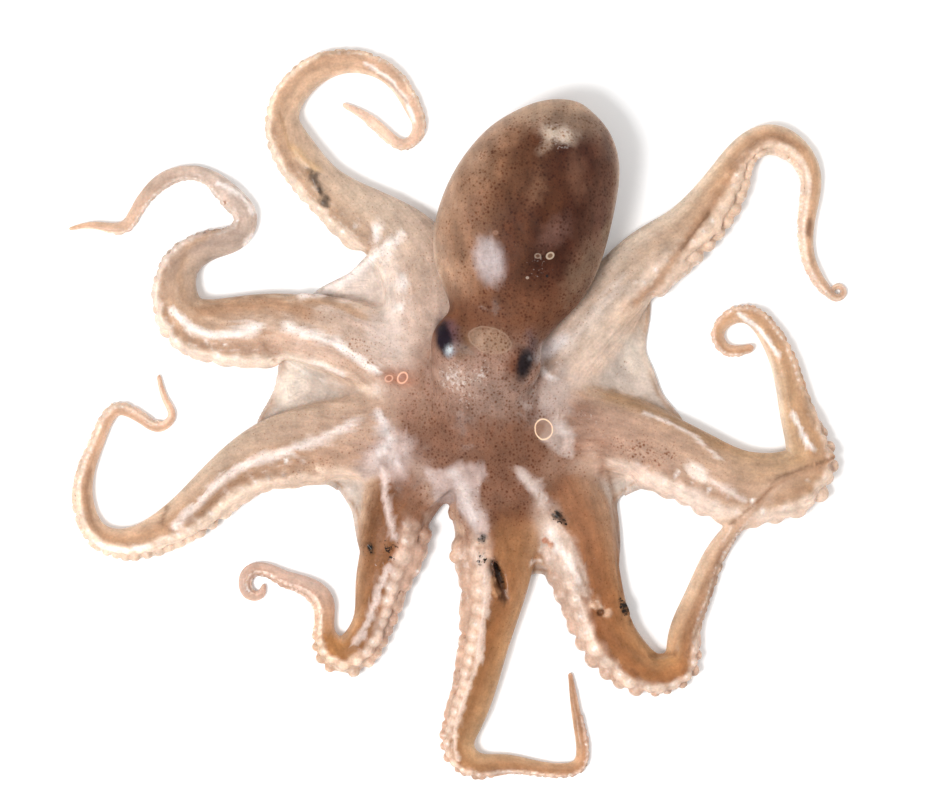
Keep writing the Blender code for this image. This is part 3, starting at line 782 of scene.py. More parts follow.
# films of pale wet skin, partly painted highlight of the lamp: outline, softness, colour, strength
sheenFilms = [
    ([(-29, 7.6), (-26.9, 6), (-24.2, 3.3), (-18.4, 0.1), (-20, -3.1), (-20.8, -9.5), (-23.7, -9.5),
      (-25.8, -10.5), (-28.5, -9.5), (-33.3, -10.5), (-34.9, -8.4), (-32.2, -3.1), (-29, 0.1),
      (-28.5, 3.9)],
     1.5, (0.47, 0.35, 0.315), 0.8),
    ([(-16.2, -7.6), (-9.8, -7.9), (-7.7, -5.7), (-0.2, -6.8), (0.3, -8.9), (-1.6, -12.1),
      (-1.8, -17), (0.6, -19.6), (1.1, -23.4), (0.3, -26.5), (-1.6, -26.8), (-4.5, -22.3),
      (-7.2, -19.1), (-9.8, -17.5), (-13.6, -16.4), (-14.6, -11.6)],
     0.7, (0.45, 0.335, 0.30), 0.85),
    ([(7.5, -7), (10.3, -7), (14.5, -12), (18, -17), (16.6, -19.1), (13.1, -14.9), (8.9, -10.5)],
     0.6, (0.52, 0.39, 0.34), 0.85),
    ([(15.9, -19.1), (19.4, -22), (22.5, -25.5), (25.8, -31.8), (27.9, -38.9), (28.6, -43.7),
      (23.7, -40.2), (19.4, -36), (16.6, -33.2), (14.5, -29.7), (15.2, -24.8)],
     0.9, (0.58, 0.43, 0.35), 0.85),
    ([(17.3, 6.3), (20.8, 5.7), (23.3, 3.5), (24.3, 0.7), (23, -5), (20.2, -4.3), (17.3, -2.2),
      (14.5, 0.7)],
     0.45, (0.50, 0.38, 0.33), 0.85),
]
# lines: points, half width, softness, colour, strength, relief in mm
strokes = [
    # painted highlights: bright cores of the films round the mouth
    ([(-28.6, 7.2), (-26.6, 3), (-26, -0.7), (-28.8, -3.6)], 1.2, 0.9, (0.74, 0.66, 0.63), 0.7, 0.2),
    ([(-26, -0.7), (-23.4, -6.4)], 1.0, 0.9, (0.68, 0.59, 0.57), 0.6, 0.2),
    ([(-8.6, -9), (-6, -13), (-5, -17.5), (-2.6, -22)], 1.4, 0.9, (0.66, 0.57, 0.54), 0.6, 0.2),
    ([(9, -8.4), (12.6, -12.2), (15.6, -16.2)], 0.8, 0.9, (0.66, 0.55, 0.50), 0.65, 0.2),
    ([(17.6, -24.5), (19.2, -28.5), (22.8, -32.5), (25.5, -37.5)],
     1.3, 0.9, (0.84, 0.73, 0.66), 0.75, 0.3),
    ([(19.5, 4.6), (21.4, 2)], 1.0, 0.9, (0.72, 0.62, 0.58), 0.5, 0.0),
    # fold of the web between the upper left arms: painted shade under it, then a painted highlight along its
    # ridge
    ([(-48.5, 38.8), (-42.5, 40.2), (-36.5, 43.6), (-31, 48)],
     0.6, 0.8, (0.20, 0.10, 0.05), 0.85, -0.2),
    ([(-49.4, 38.9), (-44, 39.5), (-38.6, 42.5), (-34.6, 45.5), (-29.9, 49.6), (-25.9, 52.3), (-22.5, 54.9)],
     1.1, 0.7, glint, 0.8, 1.0),
    ([(-48, 37.6), (-44, 37.4), (-37.3, 35.6), (-32.7, 33)], 1.0, 0.8, (0.42, 0.25, 0.15), 0.7, -0.3),
    ([(-32, 50.5), (-30, 52.8), (-31, 57)], 0.5, 0.8, (0.34, 0.18, 0.10), 0.7, -0.4),
    ([(-76, 34), (-68, 36), (-58, 36.5), (-48, 35)], 2.4, 0.9, (0.40, 0.22, 0.125), 0.8, 0.0),
    # the left arm
    ([(-53.5, 30.8), (-46, 28.4), (-39.3, 25.7), (-35.3, 22.7), (-29.2, 18.7)],
     1.2, 0.7, glint, 0.75, 0.5),
    ([(-64.8, 30.5), (-60.8, 30.5)], 1.3, 0.6, glint, 0.7, 0.2),
    ([(-83.8, 35), (-80.3, 30.9), (-73.8, 28.3), (-67.4, 28.3), (-63, 28.8)],
     1.0, 0.7, glint, 0.75, 0.4),
    # painted shade in a crease
    ([(-60, 33), (-59.2, 25.4), (-56.7, 21.5)], 0.4, 0.9, (0.36, 0.21, 0.13), 0.7, -0.4),
    ([(-47, 21), (-43.5, 20), (-38, 17.5)], 0.7, 0.8, filmSheen, 0.7, 0.3),
    ([(-81, 38), (-82.5, 44), (-80.5, 52), (-72, 57)], 0.8, 0.9, (0.42, 0.25, 0.15), 0.5, -0.2),
    ([(-62.5, 61.5), (-66, 66.5), (-72, 69.5)], 0.8, 0.6, glint, 0.7, 0.2),
    ([(-65, 52.5), (-62.5, 55.5)], 0.6, 0.6, glint, 0.7, 0.1),
    # the lower left arm
    # pale ridge along the back, with a painted highlight
    ([(-35.2, 4.6), (-43.7, 0.6), (-52.2, -2.8), (-59.1, -4.5), (-65.9, -7.4), (-69.9, -9.7), (-75, -14.8),
      (-80.7, -20.5), (-83.5, -23.2)], 1.25, 0.8, filmSheen, 0.85, 0.6),
    ([(-46, -7.4), (-57.9, -9.1), (-63.6, -10.2), (-70.5, -13.8), (-75, -18.2), (-79.5, -22.1)],
     1.4, 0.8, umber, 0.7, -0.3),
    # painted shade in a crease
    ([(-85.8, -18.2), (-87.3, -22.8), (-84, -24.4)], 0.6, 0.8, (0.24, 0.13, 0.075), 0.7, -0.4),
    ([(-105.7, -27.3), (-102.2, -28.9), (-96, -29.6), (-90.3, -28.6)], 0.6, 0.7, glint, 0.6, 0.2),
    ([(-106.4, -8), (-108, -14), (-106, -22)], 0.6, 0.9, umber, 0.6, -0.2),
    # the hooked arm
    # pale ridge beside the suckers, with a painted highlight
    ([(-27.5, -8), (-26.7, -15.7), (-25.7, -20.5), (-24.3, -26)],
     0.95, 0.5, (0.62, 0.48, 0.43), 0.9, 0.5),
    ([(-25.7, -34), (-27.8, -38), (-30, -43.7), (-31.3, -48.9), (-34.8, -54.3)],
     1.05, 0.5, (0.64, 0.50, 0.44), 0.85, 0.4),
    ([(-32.4, -24), (-31.5, -33), (-33.5, -44)], 1.5, 0.9, (0.20, 0.085, 0.035), 0.6, -0.2),
    # the bottom arm
    # pale ridge beside the suckers, with a painted highlight
    ([(-3.2, -29.7), (0.2, -36), (0.2, -43.7), (-0.7, -50.8), (-1.7, -57.9)],
     1.2, 0.5, (0.66, 0.49, 0.40), 0.85, 0.6),
    ([(-1.7, -57.9), (-3.8, -65), (-5.9, -70.6), (-8.1, -77), (-8.4, -82.6), (-7.2, -86.1)],
     0.7, 0.6, (0.74, 0.56, 0.45), 0.8, 0.3),
    ([(2.2, -33), (3.8, -38), (5.2, -42.5)], 1.0, 0.6, (0.05, 0.018, 0.008), 0.9, -1.0),
    ([(4.6, -24), (7.5, -32), (7.8, -40)], 0.5, 0.9, (0.22, 0.09, 0.035), 0.5, -0.2),
    # the lower right arm
    ([(33, -8), (35.5, -18), (36, -30), (37, -41)], 0.7, 0.9, (0.20, 0.09, 0.04), 0.6, -0.3),
    ([(24.8, -34), (27.4, -40), (31.5, -47.5), (36.4, -54), (43, -58.3), (51, -57.5)],
     0.6, 0.9, (0.24, 0.10, 0.04), 0.6, -0.3),
    ([(54, -58), (57.5, -50), (61.4, -40), (63.4, -30)], 0.6, 0.9, (0.30, 0.15, 0.08), 0.7, -0.2),
    ([(66, -22.5), (73.4, -16.2), (77.5, -11.8)], 0.35, 0.8, (0.26, 0.13, 0.07), 0.7, -0.1),
    # the right arm
    ([(33.2, 12), (40.9, 9.9), (47.6, 6.8), (53.3, 4.8), (58.5, 0.9), (63.1, -1.2)],
     1.5, 0.8, (0.38, 0.23, 0.13), 0.8, -0.2),
    ([(43, 7.4), (49.2, 4.9), (56.4, 1.2), (59.5, -2), (62.6, -4.6)], 0.4, 0.8, filmSheen, 0.8, 0.4),
    ([(61, -11), (66, -14), (70, -16.2)], 0.8, 0.7, filmSheen, 0.6, 0.3),
    ([(83, 6.8), (85.4, 1.8), (87.6, -2)], 0.7, 0.6, glint, 0.85, 0.3),
    ([(84.5, 14), (87.5, 6), (90.5, -2), (91, -6)], 0.9, 0.9, (0.42, 0.23, 0.12), 0.7, -0.2),
    ([(68.3, 34.2), (74, 29.8), (79.1, 22.8)], 0.55, 0.6, glint, 0.8, 0.2),
    # painted shadow where the tip of the lower right arm lies over this arm
    ([(76.5, -11), (84.8, -7.7), (94, -4.6)], 0.4, 0.8, (0.22, 0.12, 0.07), 0.8, -0.2),
    ([(32.5, 2), (31.5, -4), (31.5, -9)], 0.8, 0.9, (0.26, 0.12, 0.07), 0.6, -0.3),
    # the upper right arm
    ([(40.9, 37.4), (45, 41), (49.1, 46.7), (53.8, 52.9), (56.4, 57.1), (60.5, 62.2), (64.2, 68.4),
      (68.8, 75.2), (72.4, 79.2), (77.1, 81.8), (81.2, 81.4), (85.5, 78.6)],
     1.2, 0.9, (0.38, 0.20, 0.11), 0.75, -0.3),
    ([(52.5, 51), (55.8, 55.6), (60, 61)], 0.4, 0.8, (0.18, 0.09, 0.05), 0.7, -0.2),
    ([(87.5, 55.6), (87.6, 59)], 0.8, 0.7, (0.20, 0.10, 0.06), 0.7, 0.0),
    ([(21, 24), (27, 31), (36, 42)], 1.8, 0.9, (0.66, 0.55, 0.48), 0.6, 0.3),
    # the upper left arm
    ([(-55.4, 88.6), (-52.6, 78.5), (-47.5, 72)], 0.45, 0.8, (0.34, 0.20, 0.11), 0.75, -0.3),
    ([(-51.5, 78), (-48.5, 75), (-45.5, 73)], 1.1, 0.7, (0.62, 0.40, 0.22), 0.7, 0.3),
    ([(-32.6, 101.6), (-26.5, 97.8), (-21.8, 92.2), (-19.2, 86.5)], 0.55, 0.6, glint, 0.8, 0.2),
    ([(-31, 100.2), (-25.4, 96.2), (-21, 91)], 0.35, 0.8, (0.40, 0.24, 0.15), 0.7, -0.2),
    ([(-50, 99), (-43, 104.4), (-34, 105)], 0.5, 0.9, (0.40, 0.24, 0.15), 0.6, -0.2),
    # painted shade at the edge of the head over the arms
    ([(14.6, 17.5), (13.8, 11), (12.4, 5)], 0.5, 0.8, (0.20, 0.11, 0.08), 0.7, -0.3),
    ([(-14.6, 24), (-17, 19), (-17.5, 14)], 0.45, 0.8, (0.30, 0.15, 0.09), 0.6, -0.3),
]
# black flecks: x, y, reach, amount
grime = [
    (-25.6, -28.5, 3.0, 1.0), (-25, -31.5, 2.2, 0.9), (-31.5, -29.5, 2.4, 0.8), (-0.8, -26.4, 1.8, 1.0),
    (-0.8, -32, 2.8, 0.9), (2.5, -34.5, 1.8, 0.7), (19.4, -20.5, 2.2, 1.0), (21.5, -22, 1.6, 1.0),
    (30, -46, 2.0, 0.4), (-46.5, 72.5, 2.0, 0.5), (-77, -19, 3.5, 0.5), (-73.6, -16.5, 2.5, 0.5),
]
# small irregular white flecks, partly the skin's own and partly painted glints: x, y, reach, amount
flecksAndGlints = [
    (-8.3, 16.6, 4.6, 1.0), (-1.5, 17.2, 3.6, 0.9), (-5, 12, 5, 0.6), (19.6, 80.2, 4.6, 0.8),
    (27, 6.5, 3.2, 0.7), (31, 5, 3, 0.5), (-2, -12, 3, 0.5), (-1, 50, 2.4, 0.4), (14, 47, 4, 0.5),
    (24, 28, 4, 0.6), (19, 20, 3, 0.6), (-0.5, -33, 4, 0.6), (20, -30, 5, 0.5), (-27, -34, 3, 0.5),
]
# further groups of small dots: x, y, half length, half width, angle, amount
dotted = [
    (43.5, -3.2, 11, 3.2, -8, 1.0), (-34, 24.5, 6, 3.5, -40, 0.9), (-12, 6, 14, 12, 0, 0.9),
    (20, -6, 8, 5, -30, 0.8), (31, -16, 4, 9, 10, 0.5), (-34, -1, 9, 5, 15, 0.6),
    (-46, -7, 12, 2.4, 15, 0.6), (38, 18, 5, 3, 60, 0.5), (-45, 33, 10, 2.4, -8, 0.5),
    (4, -16, 8, 7, 0, 0.8), (-18, -14, 5, 6, 0, 0.7),
]


def over(colour, tone, mask):
    # colours moved towards a tone by a mask of 0 to 1
    return colour + (np.asarray(tone) - colour) * mask[:, None]


def between(stops, share, first):
    # colour at each share, straight between stops whose colour starts at column first
    return np.stack([np.interp(share, stops[:, 0], stops[:, first + i]) for i in range(3)], axis=1)


def insideOutline(outline, x, y):
    # signed distance to a closed outline, less than 0 inside: a place is inside if a ray from it
    # crosses the outline an odd number of times
    closed = outline + outline[:1]
    far = strokeDistance(closed, x, y)
    crossed = np.zeros(x.shape, bool)
    for (ax, ay), (bx, by) in zip(closed, closed[1:]):
        spans = (ay > y) != (by > y)
        crossed ^= spans & (x < (bx - ax) * (y - ay) / (by - ay if by != ay else 1e-9) + ax)
    return np.where(crossed, -far, far)


suckerTone = {
    # painted shade in the gap round each sucker and in its cup, and a painted highlight on it
    "gap": (0.42, 0.60), "gapEnd": (0.7, 1.0), "gapShade": (0.45, 0.62, 0.70),  # shares of its size
    "cup": (0.1, 0.24), "cupAmount": 0.3, "cupShade": (0.2, 0.45, 0.5),
    "lightAt": (-0.10, -0.04, 0.32), "lightOut": 0.2,  # towards the brighter lamp
    "lightLong": (0.08, 0.16), "lightWide": (0.15, 0.2), "light": 0.9,  # share of size, and mm
}


def suckerLook(suckers, points):
    # at each point near a sucker: distance from its centre as a share of its size, how dark the painted
    # shade in its gap is, and a small painted highlight on its upper side, exp(-(oval distance)^3)
    away = np.full(len(points), 9.0)
    gapShading = np.zeros(len(points))
    light = np.zeros(len(points))
    order = np.argsort(points[:, 0])
    along = points[order, 0]
    shine = rng.uniform(0.1, 1.0, len(suckers)) ** 1.5
    for sucker, bright in zip(suckers, shine):
        centre, out, size = sucker[:3], sucker[3:6], sucker[8]
        first, last = np.searchsorted(along, [centre[0] - size, centre[0] + size])
        near = order[first:last]
        near = near[np.abs(points[near, 1] - centre[1]) < size]
        gap = points[near] - centre
        far = np.linalg.norm(gap, axis=1) / size
        gapShading[near] = np.where(far < away[near], sucker[10], gapShading[near])
        away[near] = np.minimum(away[near], far)
        top = gap - (out * suckerTone["lightOut"] + np.array(suckerTone["lightAt"])) * size
        way = np.array([*sucker[6:8], 0])
        long, wide = (share * size + least
                      for share, least in (suckerTone["lightLong"], suckerTone["lightWide"]))
        run = top @ way / long
        across = (top @ np.cross(out, way)) / wide
        highlightSpot = np.exp(-(run ** 2 + across ** 2) ** 1.5) * bright
        light[near] = np.maximum(light[near], highlightSpot)
    return away, gapShading, light


armTone = {
    "stripeAt": 70, "stripeWide": 22, "stripe": 0.85,  # degrees round the section from the face
    "edge": (118, 160), "face": (40, 56), "faceRagged": 4,
}


def armColour(name, place, points):
    # round the section: sucker band, dark stripe beside it, back, and pale far edge
    arm = arms[name]
    u = arm["side"] * place["across"] / place["halfWidth"]
    v = (points[:, 2] - place["middle"]) / place["halfHeight"]
    turn = np.degrees(np.arctan2(v, u))
    fromFace = np.abs(turn - np.degrees(place["tilt"]))
    stops = np.array([[share, *back, *stripe, *edge, *sucker]
                      for share, back, stripe, edge, sucker in armColours[name]])
    back, stripe, edge, sucker = (between(stops, place["share"], first) for first in (1, 4, 7, 10))
    beside = np.exp(-((fromFace - armTone["stripeAt"]) / armTone["stripeWide"]) ** 2)
    colour = over(back, stripe, beside * armTone["stripe"])
    colour = over(colour, edge, step01(*armTone["edge"], np.abs(turn)))
    ragged = armTone["faceRagged"] * waves(points, 5, seed=41)
    band = 1 - step01(*armTone["face"], fromFace + ragged)
    return over(colour, sucker, band), band


limbTone = {
    "backDots": 0.4, "backFade": (0.25, 0.6),  # dots on the arms, and the shares where they end
    "web": (20, 40), "webDots": 0.25,  # mm from the mouth over which the web pales
    "marginAt": 1.3, "marginWide": 0.45, "margin": 0.7,
    "mix": 0.6,  # mm over which neighbouring parts run into each other
    "crown": (15, 33), "crownRagged": 3.5, "crownAmount": 0.85, "crownDots": 0.9,
}


def limbLook(points, suckers, ragged):
    # colour and dots of the arms, the web and the crown: every part's own colour, weighed by
    # exp(-(how much further the point is from it than from the nearest part) / mix)
    x, y, z = points.T
    far = np.hypot(x, y)
    distances, colours, dots = [], [], []
    for name, arm in arms.items():
        place = placeOn(arm, x, y)
        colour, band = armColour(name, place, points)
        distances.append(np.clip(armDistance(arm, place, z), -9, 9))
        colours.append(colour)
        fade = 1 - step01(*limbTone["backFade"], place["share"])
        dots.append(limbTone["backDots"] * (1 - band) * fade)
    distances.append(webDistance(x, y, z))
    pale = step01(*limbTone["web"], far)
    colour = over(np.array(zones["webInner"]), zones["web"], pale)
    line = np.exp(-((webMargin(x, y) + limbTone["marginAt"]) / limbTone["marginWide"]) ** 2)
    colours.append(over(colour, zones["webLine"], line * limbTone["margin"]))
    dots.append(limbTone["webDots"] * (1 - pale))
    nearest = np.min(distances, axis=0)
    weights = [np.exp(-np.clip(d - nearest, 0, 12) / limbTone["mix"]) for d in distances]
    total = np.sum(weights, axis=0)
    limb = sum(w[:, None] * c for w, c in zip(weights, colours)) / total[:, None]
    limbDots = sum(w * d for w, d in zip(weights, dots)) / total

    # painted shade in the gaps round the suckers and in their cups, then painted highlights on them
    away, gapShading, light = suckerLook(suckers, points)
    gap = step01(*suckerTone["gap"], away) * (1 - step01(*suckerTone["gapEnd"], away)) * gapShading
    limb = limb * (1 - gap[:, None] * np.array(suckerTone["gapShade"]))
    cup = 1 - step01(*suckerTone["cup"], away + 0.1 * waves(points, 6, seed=44))
    limb = limb * (1 - (cup * suckerTone["cupAmount"])[:, None] * np.array(suckerTone["cupShade"]))
    limb = over(limb, glint, light * suckerTone["light"])
    crown = 1 - step01(*limbTone["crown"], far + limbTone["crownRagged"] * ragged)
    limb = over(limb, zones["crown"], crown * limbTone["crownAmount"])
    return limb, np.maximum(limbDots, limbTone["crownDots"] * crown), crown, nearest


trunkTone = {
    "shift": 0.05, "streaks": 0.15, "streakMost": 1.6, "streakEnd": (0.8, 1),
    "tip": (79, 89), "tipRagged": 2, "tipAmount": 0.8,
    "rim": (0.95, 1.0), "rimFrom": (24, 40), "rimAmount": 0.8,
    "neck": (20, 32), "mantle": (34, 46),  # mm along the body where the next colour takes over
    "over": (-1.5, 1.5), "overFrom": (2, 14),  # where the body's colour covers the arms'
    "dots": 0.92, "dotsVary": 0.22, "flank": (0.55, 0.95), "flankLess": 0.45, "end": (84, 90),
    "endLess": 0.4,
}


def trunkLook(points, ragged, nearest):
    # colour and dots of the head and the mantle, from side to side and from neck to tip, and the
    # share of the body at each point
    x, y, z = points.T
    middleX, _, ratio, product, _ = bodyProfile(y)
    halfWidth = np.sqrt(np.maximum(product, 0.1) / ratio)
    outward = np.abs(x - middleX) / halfWidth
    side = np.clip((x - middleX) / halfWidth, -1, 1) + trunkTone["shift"] * ragged
    mantle = between(np.array(mantleAcross), side, 1)
    streaks = waves(points * np.array([1, 0.28, 1]), 8, seed=31) + 0.6 * waves(points, 3.2, seed=32)
    streaks = np.clip(streaks, -trunkTone["streakMost"], trunkTone["streakMost"])
    streaks = streaks * (1 - step01(*trunkTone["streakEnd"], outward))
    mantle = mantle * (1 - trunkTone["streaks"] * streaks)[:, None]
    tip = step01(*trunkTone["tip"], y + trunkTone["tipRagged"] * ragged)
    mantle = over(mantle, zones["tip"], tip * trunkTone["tipAmount"])
    edge = step01(*trunkTone["rim"], outward) * step01(*trunkTone["rimFrom"], y)
    mantle = over(mantle, zones["rim"], edge * trunkTone["rimAmount"])
    neck = over(np.array(zones["head"]), zones["neck"], step01(*trunkTone["neck"], y))
    trunk = over(neck, mantle, step01(*trunkTone["mantle"], y))
    own = bodyDistance(x, y, z) - nearest
    share = step01(*trunkTone["over"], -own) * step01(*trunkTone["overFrom"], y)
    flank = ((1 - trunkTone["flankLess"] * step01(*trunkTone["flank"], -side))
             * (1 - trunkTone["endLess"] * step01(*trunkTone["end"], y)))
    dots = (trunkTone["dots"] + trunkTone["dotsVary"] * waves(points, 7, seed=35)) * flank
    return trunk, np.clip(dots, 0, 1), share


markTone = {
    "mottle": 0.10, "patchRagged": 0.30, "filmRagged": 0.25, "filmGrain": 0.16, "filmDots": 0.8,
    "highlightSpot": (1.0, 47.4), "spotSquash": 0.68, "spotReach": 4.2, "spotDots": 0.85,  # painted highlight on the mantle: fewer dots under it
    "crust": (0.4, 1.2), "crustAmount": 0.8, "strokeRagged": 0.35, "group": (0.6, 1.2),
    "dry": 0.75, "dryBand": 0.8, "dryAt": 38, "dryReach": 5,  # the neck shines least
}


def skinLook(points, suckers):
    # colour, dots, grime, white flecks with painted glints, and wetness at each point of the skin: the
    # limbs', then the body's over them, then patches, films, crusts and lines, some of them painted light
    # and shade, each by a mask with a ragged edge
    x, y, z = points.T
    ragged = waves(points, 9, seed=11)
    limb, limbDots, crown, nearest = limbLook(points, suckers, ragged)
    trunk, trunkDots, share = trunkLook(points, ragged, nearest)
    colour = over(limb, trunk, share)
    dots = limbDots + (trunkDots - limbDots) * share
    mottle = waves(points, 13, seed=51) * 0.6 + waves(points, 5, seed=52) * 0.4
    colour = colour * (1 + markTone["mottle"] * mottle)[:, None]
    fleck = waves(points, 4.0, seed=5) + 0.6 * waves(points, 1.9, seed=6)
    for px, py, halfLong, halfShort, angle, softness, tone, strength in patches:
        u, v = ovalFrame(x, y, px, py, angle)
        out = np.hypot(u / halfLong, v / halfShort) + markTone["patchRagged"] * softness ** 2 * fleck
        mask = 1 - step01(1 - softness, 1 + softness * 0.6, out)
        colour = over(colour, tone, mask * strength)
    grain = 1 + markTone["filmGrain"] * waves(points * np.array([1, 0.4, 1]), 3, seed=7)
    # pale films that carry a painted highlight, with fewer dots under them
    for outline, softness, tone, strength in sheenFilms:
        out = insideOutline(outline, x, y) + markTone["filmRagged"] * fleck
        mask = (1 - step01(-softness, softness, out)) * strength
        colour = over(colour, np.array(tone) * grain[:, None], mask)
        dots = dots * (1 - markTone["filmDots"] * mask)
    # fewer dots under the painted highlight on the mantle
    away = np.hypot(x - markTone["highlightSpot"][0], (y - markTone["highlightSpot"][1]) * markTone["spotSquash"])
    dots = dots * (1 - markTone["spotDots"] * np.exp(-(away / markTone["spotReach"]) ** 4))
    for px, py, halfLong, halfShort, _, angle, tone in crusts:
        u, v = ovalFrame(x, y, px, py, angle)
        spill = crustForm["spill"]
        out = np.hypot(u / (halfLong + spill), v / (halfShort + spill)) + 0.3 * fleck
        mask = 1 - step01(*markTone["crust"], out)
        colour = over(colour, tone, mask * markTone["crustAmount"])
    for line, half, softness, tone, strength, _ in strokes:
        reach = half * (1 + markTone["strokeRagged"] * fleck)
        away = strokeDistance(line, x, y)
        mask = 1 - step01(reach * (1 - softness), reach * (1 + softness), away)
        colour = over(colour, tone, mask * strength)
    # black flecks, and white flecks that are partly painted glints
    black, pale = (
        np.max([amount * np.exp(-((x - px) ** 2 + (y - py) ** 2) / reach ** 2)
                for px, py, reach, amount in spots], axis=0) for spots in (grime, flecksAndGlints))
    for px, py, halfLong, halfShort, angle, amount in dotted:
        u, v = ovalFrame(x, y, px, py, angle)
        out = np.hypot(u / halfLong, v / halfShort) + 0.2 * fleck
        dots = np.maximum(dots, (1 - step01(*markTone["group"], out)) * amount)
    for px, py, halfLong, halfShort, _, angle, tone in crusts:
        if max(tone) < crustForm["sootBelow"]:
            u, v = ovalFrame(x, y, px, py, angle)
            spill = crustForm["sootSpill"]
            out = np.hypot(u / (halfLong + spill), v / (halfShort + spill))
            black = np.maximum(black, crustForm["soot"] * np.exp(-out ** 3))
    band = share * np.exp(-((y - markTone["dryAt"]) / markTone["dryReach"]) ** 2)
    wet = 1 - markTone["dry"] * np.maximum(share, crown) - markTone["dryBand"] * band
    return np.clip(colour, 0.002, 0.95), np.clip(dots, 0, 1), black, pale, wet


def flowAlong(points):
    # place along the nearest part, drawn out fourfold, and round it: x runs along the part, y
    # across it, and z is how clearly one part is the nearest, in units of 1 m for a clear case
    x, y, z = points.T
    nearest = bodyDistance(x, y, z)
    along, across = y * 0.3, x + 0.0
    second = np.full(len(points), 9.0)
    for arm in arms.values():
        place = placeOn(arm, x, y)
        own = armDistance(arm, place, z)
        closer = own < nearest
        second = np.where(closer, nearest, np.minimum(second, own))
        nearest = np.where(closer, own, nearest)
        u, v = place["across"] / place["halfWidth"], (z - place["middle"]) / place["halfHeight"]
        along = np.where(closer, place["share"] * arm["length"][-1] * 0.25, along)
        across = np.where(closer, np.arctan2(v, u) * place["halfWidth"], across)
    clear = step01(0.5, 3.0, np.minimum(second, 9) - nearest)
    return np.column_stack([along, across, clear / metre])


reliefForm = {
    "broad": (0.14, 11), "fine": (0.06, 4.5),  # mm high, mm long
    "foldWide": 0.5, "zEase": (0.3, 1.5), "upEase": (0.1, 0.6),  # only above the floor and facing up
}


def relief(points, normals):
    # rises and dips along the normal: smooth noise, and height * exp(-(distance / width)^2) for
    # the fold along each stroke
    x, y, z = points.T
    lift = sum(height * waves(points, length, seed=seed)
               for (height, length), seed in ((reliefForm["broad"], 21), (reliefForm["fine"], 22)))
    for line, half, _, _, _, height in strokes:
        if height:
            away = strokeDistance(line, x, y) / (half + reliefForm["foldWide"])
            lift += height * np.exp(-away ** 2)
    lift *= step01(*reliefForm["zEase"], z) * step01(*reliefForm["upEase"], normals[:, 2])
    return points + normals * lift[:, None]


def addSkin():
    # the whole octopus as one closed mesh: the zero level of the field, thinned, with folds, and
    # with its looks stored on its points
    step = skinGrid["step"]
    suckers = laySuckers()
    field, origin = skinField(suckers)
    print("field", field.shape)
    points, quads = surfaceNet(field, origin, step)
    points = settle(field, origin, step, points)
    print("net", len(points), "points", len(quads), "quads")
    skin = makePiece("skin", points, quads)
    triangles = 2 * len(quads)
    if triangles > skinGrid["mostTriangles"]:
        thin = skin.modifiers.new("Thin", "DECIMATE")
        thin.ratio = skinGrid["mostTriangles"] / triangles
        shape = skin.evaluated_get(bpy.context.evaluated_depsgraph_get())
        lighter = bpy.data.meshes.new_from_object(shape)
        skin.modifiers.clear()
        skin.data = lighter
    mesh = skin.data
    mesh.name = "skin"
    places = relief(pointsOf(mesh), normalsOf(mesh))
    mesh.vertices.foreach_set("co", inFrame(places))
    mesh.polygons.foreach_set("use_smooth", np.full(len(mesh.polygons), True))
    mesh.update()
    colour, dots, black, pale, wet = skinLook(places, suckers)
    tint = mesh.color_attributes.new("tint", "FLOAT_COLOR", "POINT")
    tint.data.foreach_set("color", np.column_stack([colour, dots]).astype(np.float32).ravel())
    for name, amount in (("grime", black), ("flecksAndGlints", pale), ("wet", wet)):
        layer = mesh.attributes.new(name, "FLOAT", "POINT")
        layer.data.foreach_set("value", amount.astype(np.float32))
    flow = mesh.attributes.new("flow", "FLOAT_VECTOR", "POINT")
    flow.data.foreach_set("vector", (flowAlong(places) * metre).astype(np.float32).ravel())
    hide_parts("octopus")
    return skin


def node(tree, kind, **values):
    # a shader node with some of its settings
    made = tree.nodes.new(kind)
    for key, value in values.items():
        setattr(made, key, value)
    return made


def feed(tree, socket, value):
    # a link where the value is another node's output, else a plain value
    if isinstance(value, bpy.types.NodeSocket):
        tree.links.new(value, socket)
    else:
        socket.default_value = value


def mixColour(tree, blend, factor, first, second):
    # first blended with second by a factor of 0 to 1
    mix = node(tree, "ShaderNodeMix", data_type="RGBA", blend_type=blend)
    for i, value in ((0, factor), (6, first), (7, second)):
        feed(tree, mix.inputs[i], value)
    return mix.outputs[2]


def maths(tree, operation, *values):
    # one sum of one to three values; MULTIPLY_ADD is first * second + third
    made = node(tree, "ShaderNodeMath", operation=operation)
    for socket, value in zip(made.inputs, values):
        feed(tree, socket, value)
    return made.outputs[0]


def noise(tree, place, scale, detail, roughness=0.5, distortion=0.0):
    # cloudy noise of 0 to 1, with scale given in lumps per metre
    made = node(tree, "ShaderNodeTexNoise")
    for name, value in (("Vector", place), ("Scale", scale), ("Detail", detail),
                        ("Roughness", roughness), ("Distortion", distortion)):
        feed(tree, made.inputs[name], value)
    return made.outputs["Fac"]


def ramp(tree, value, low, high):
    # 0 at low and 1 at high, straight between them
    made = node(tree, "ShaderNodeMapRange")
    for name, given in (("Value", value), ("From Min", low), ("From Max", high)):
        feed(tree, made.inputs[name], given)
    return made.outputs["Result"]


def stored(tree, name, output="Fac"):
    # a value kept on the points of the mesh
    made = node(tree, "ShaderNodeAttribute", attribute_name=name, attribute_type="GEOMETRY")
    return made.outputs[output]


socketNames = {
    "colour": "Base Color", "roughness": "Roughness", "specular": "Specular IOR Level", "ior": "IOR",
    "scatter": "Subsurface Weight", "scatterRadius": "Subsurface Radius",
    "scatterScale": "Subsurface Scale", "coat": "Coat Weight", "coatRoughness": "Coat Roughness",
    "glowColour": "Emission Color", "glow": "Emission Strength",
}


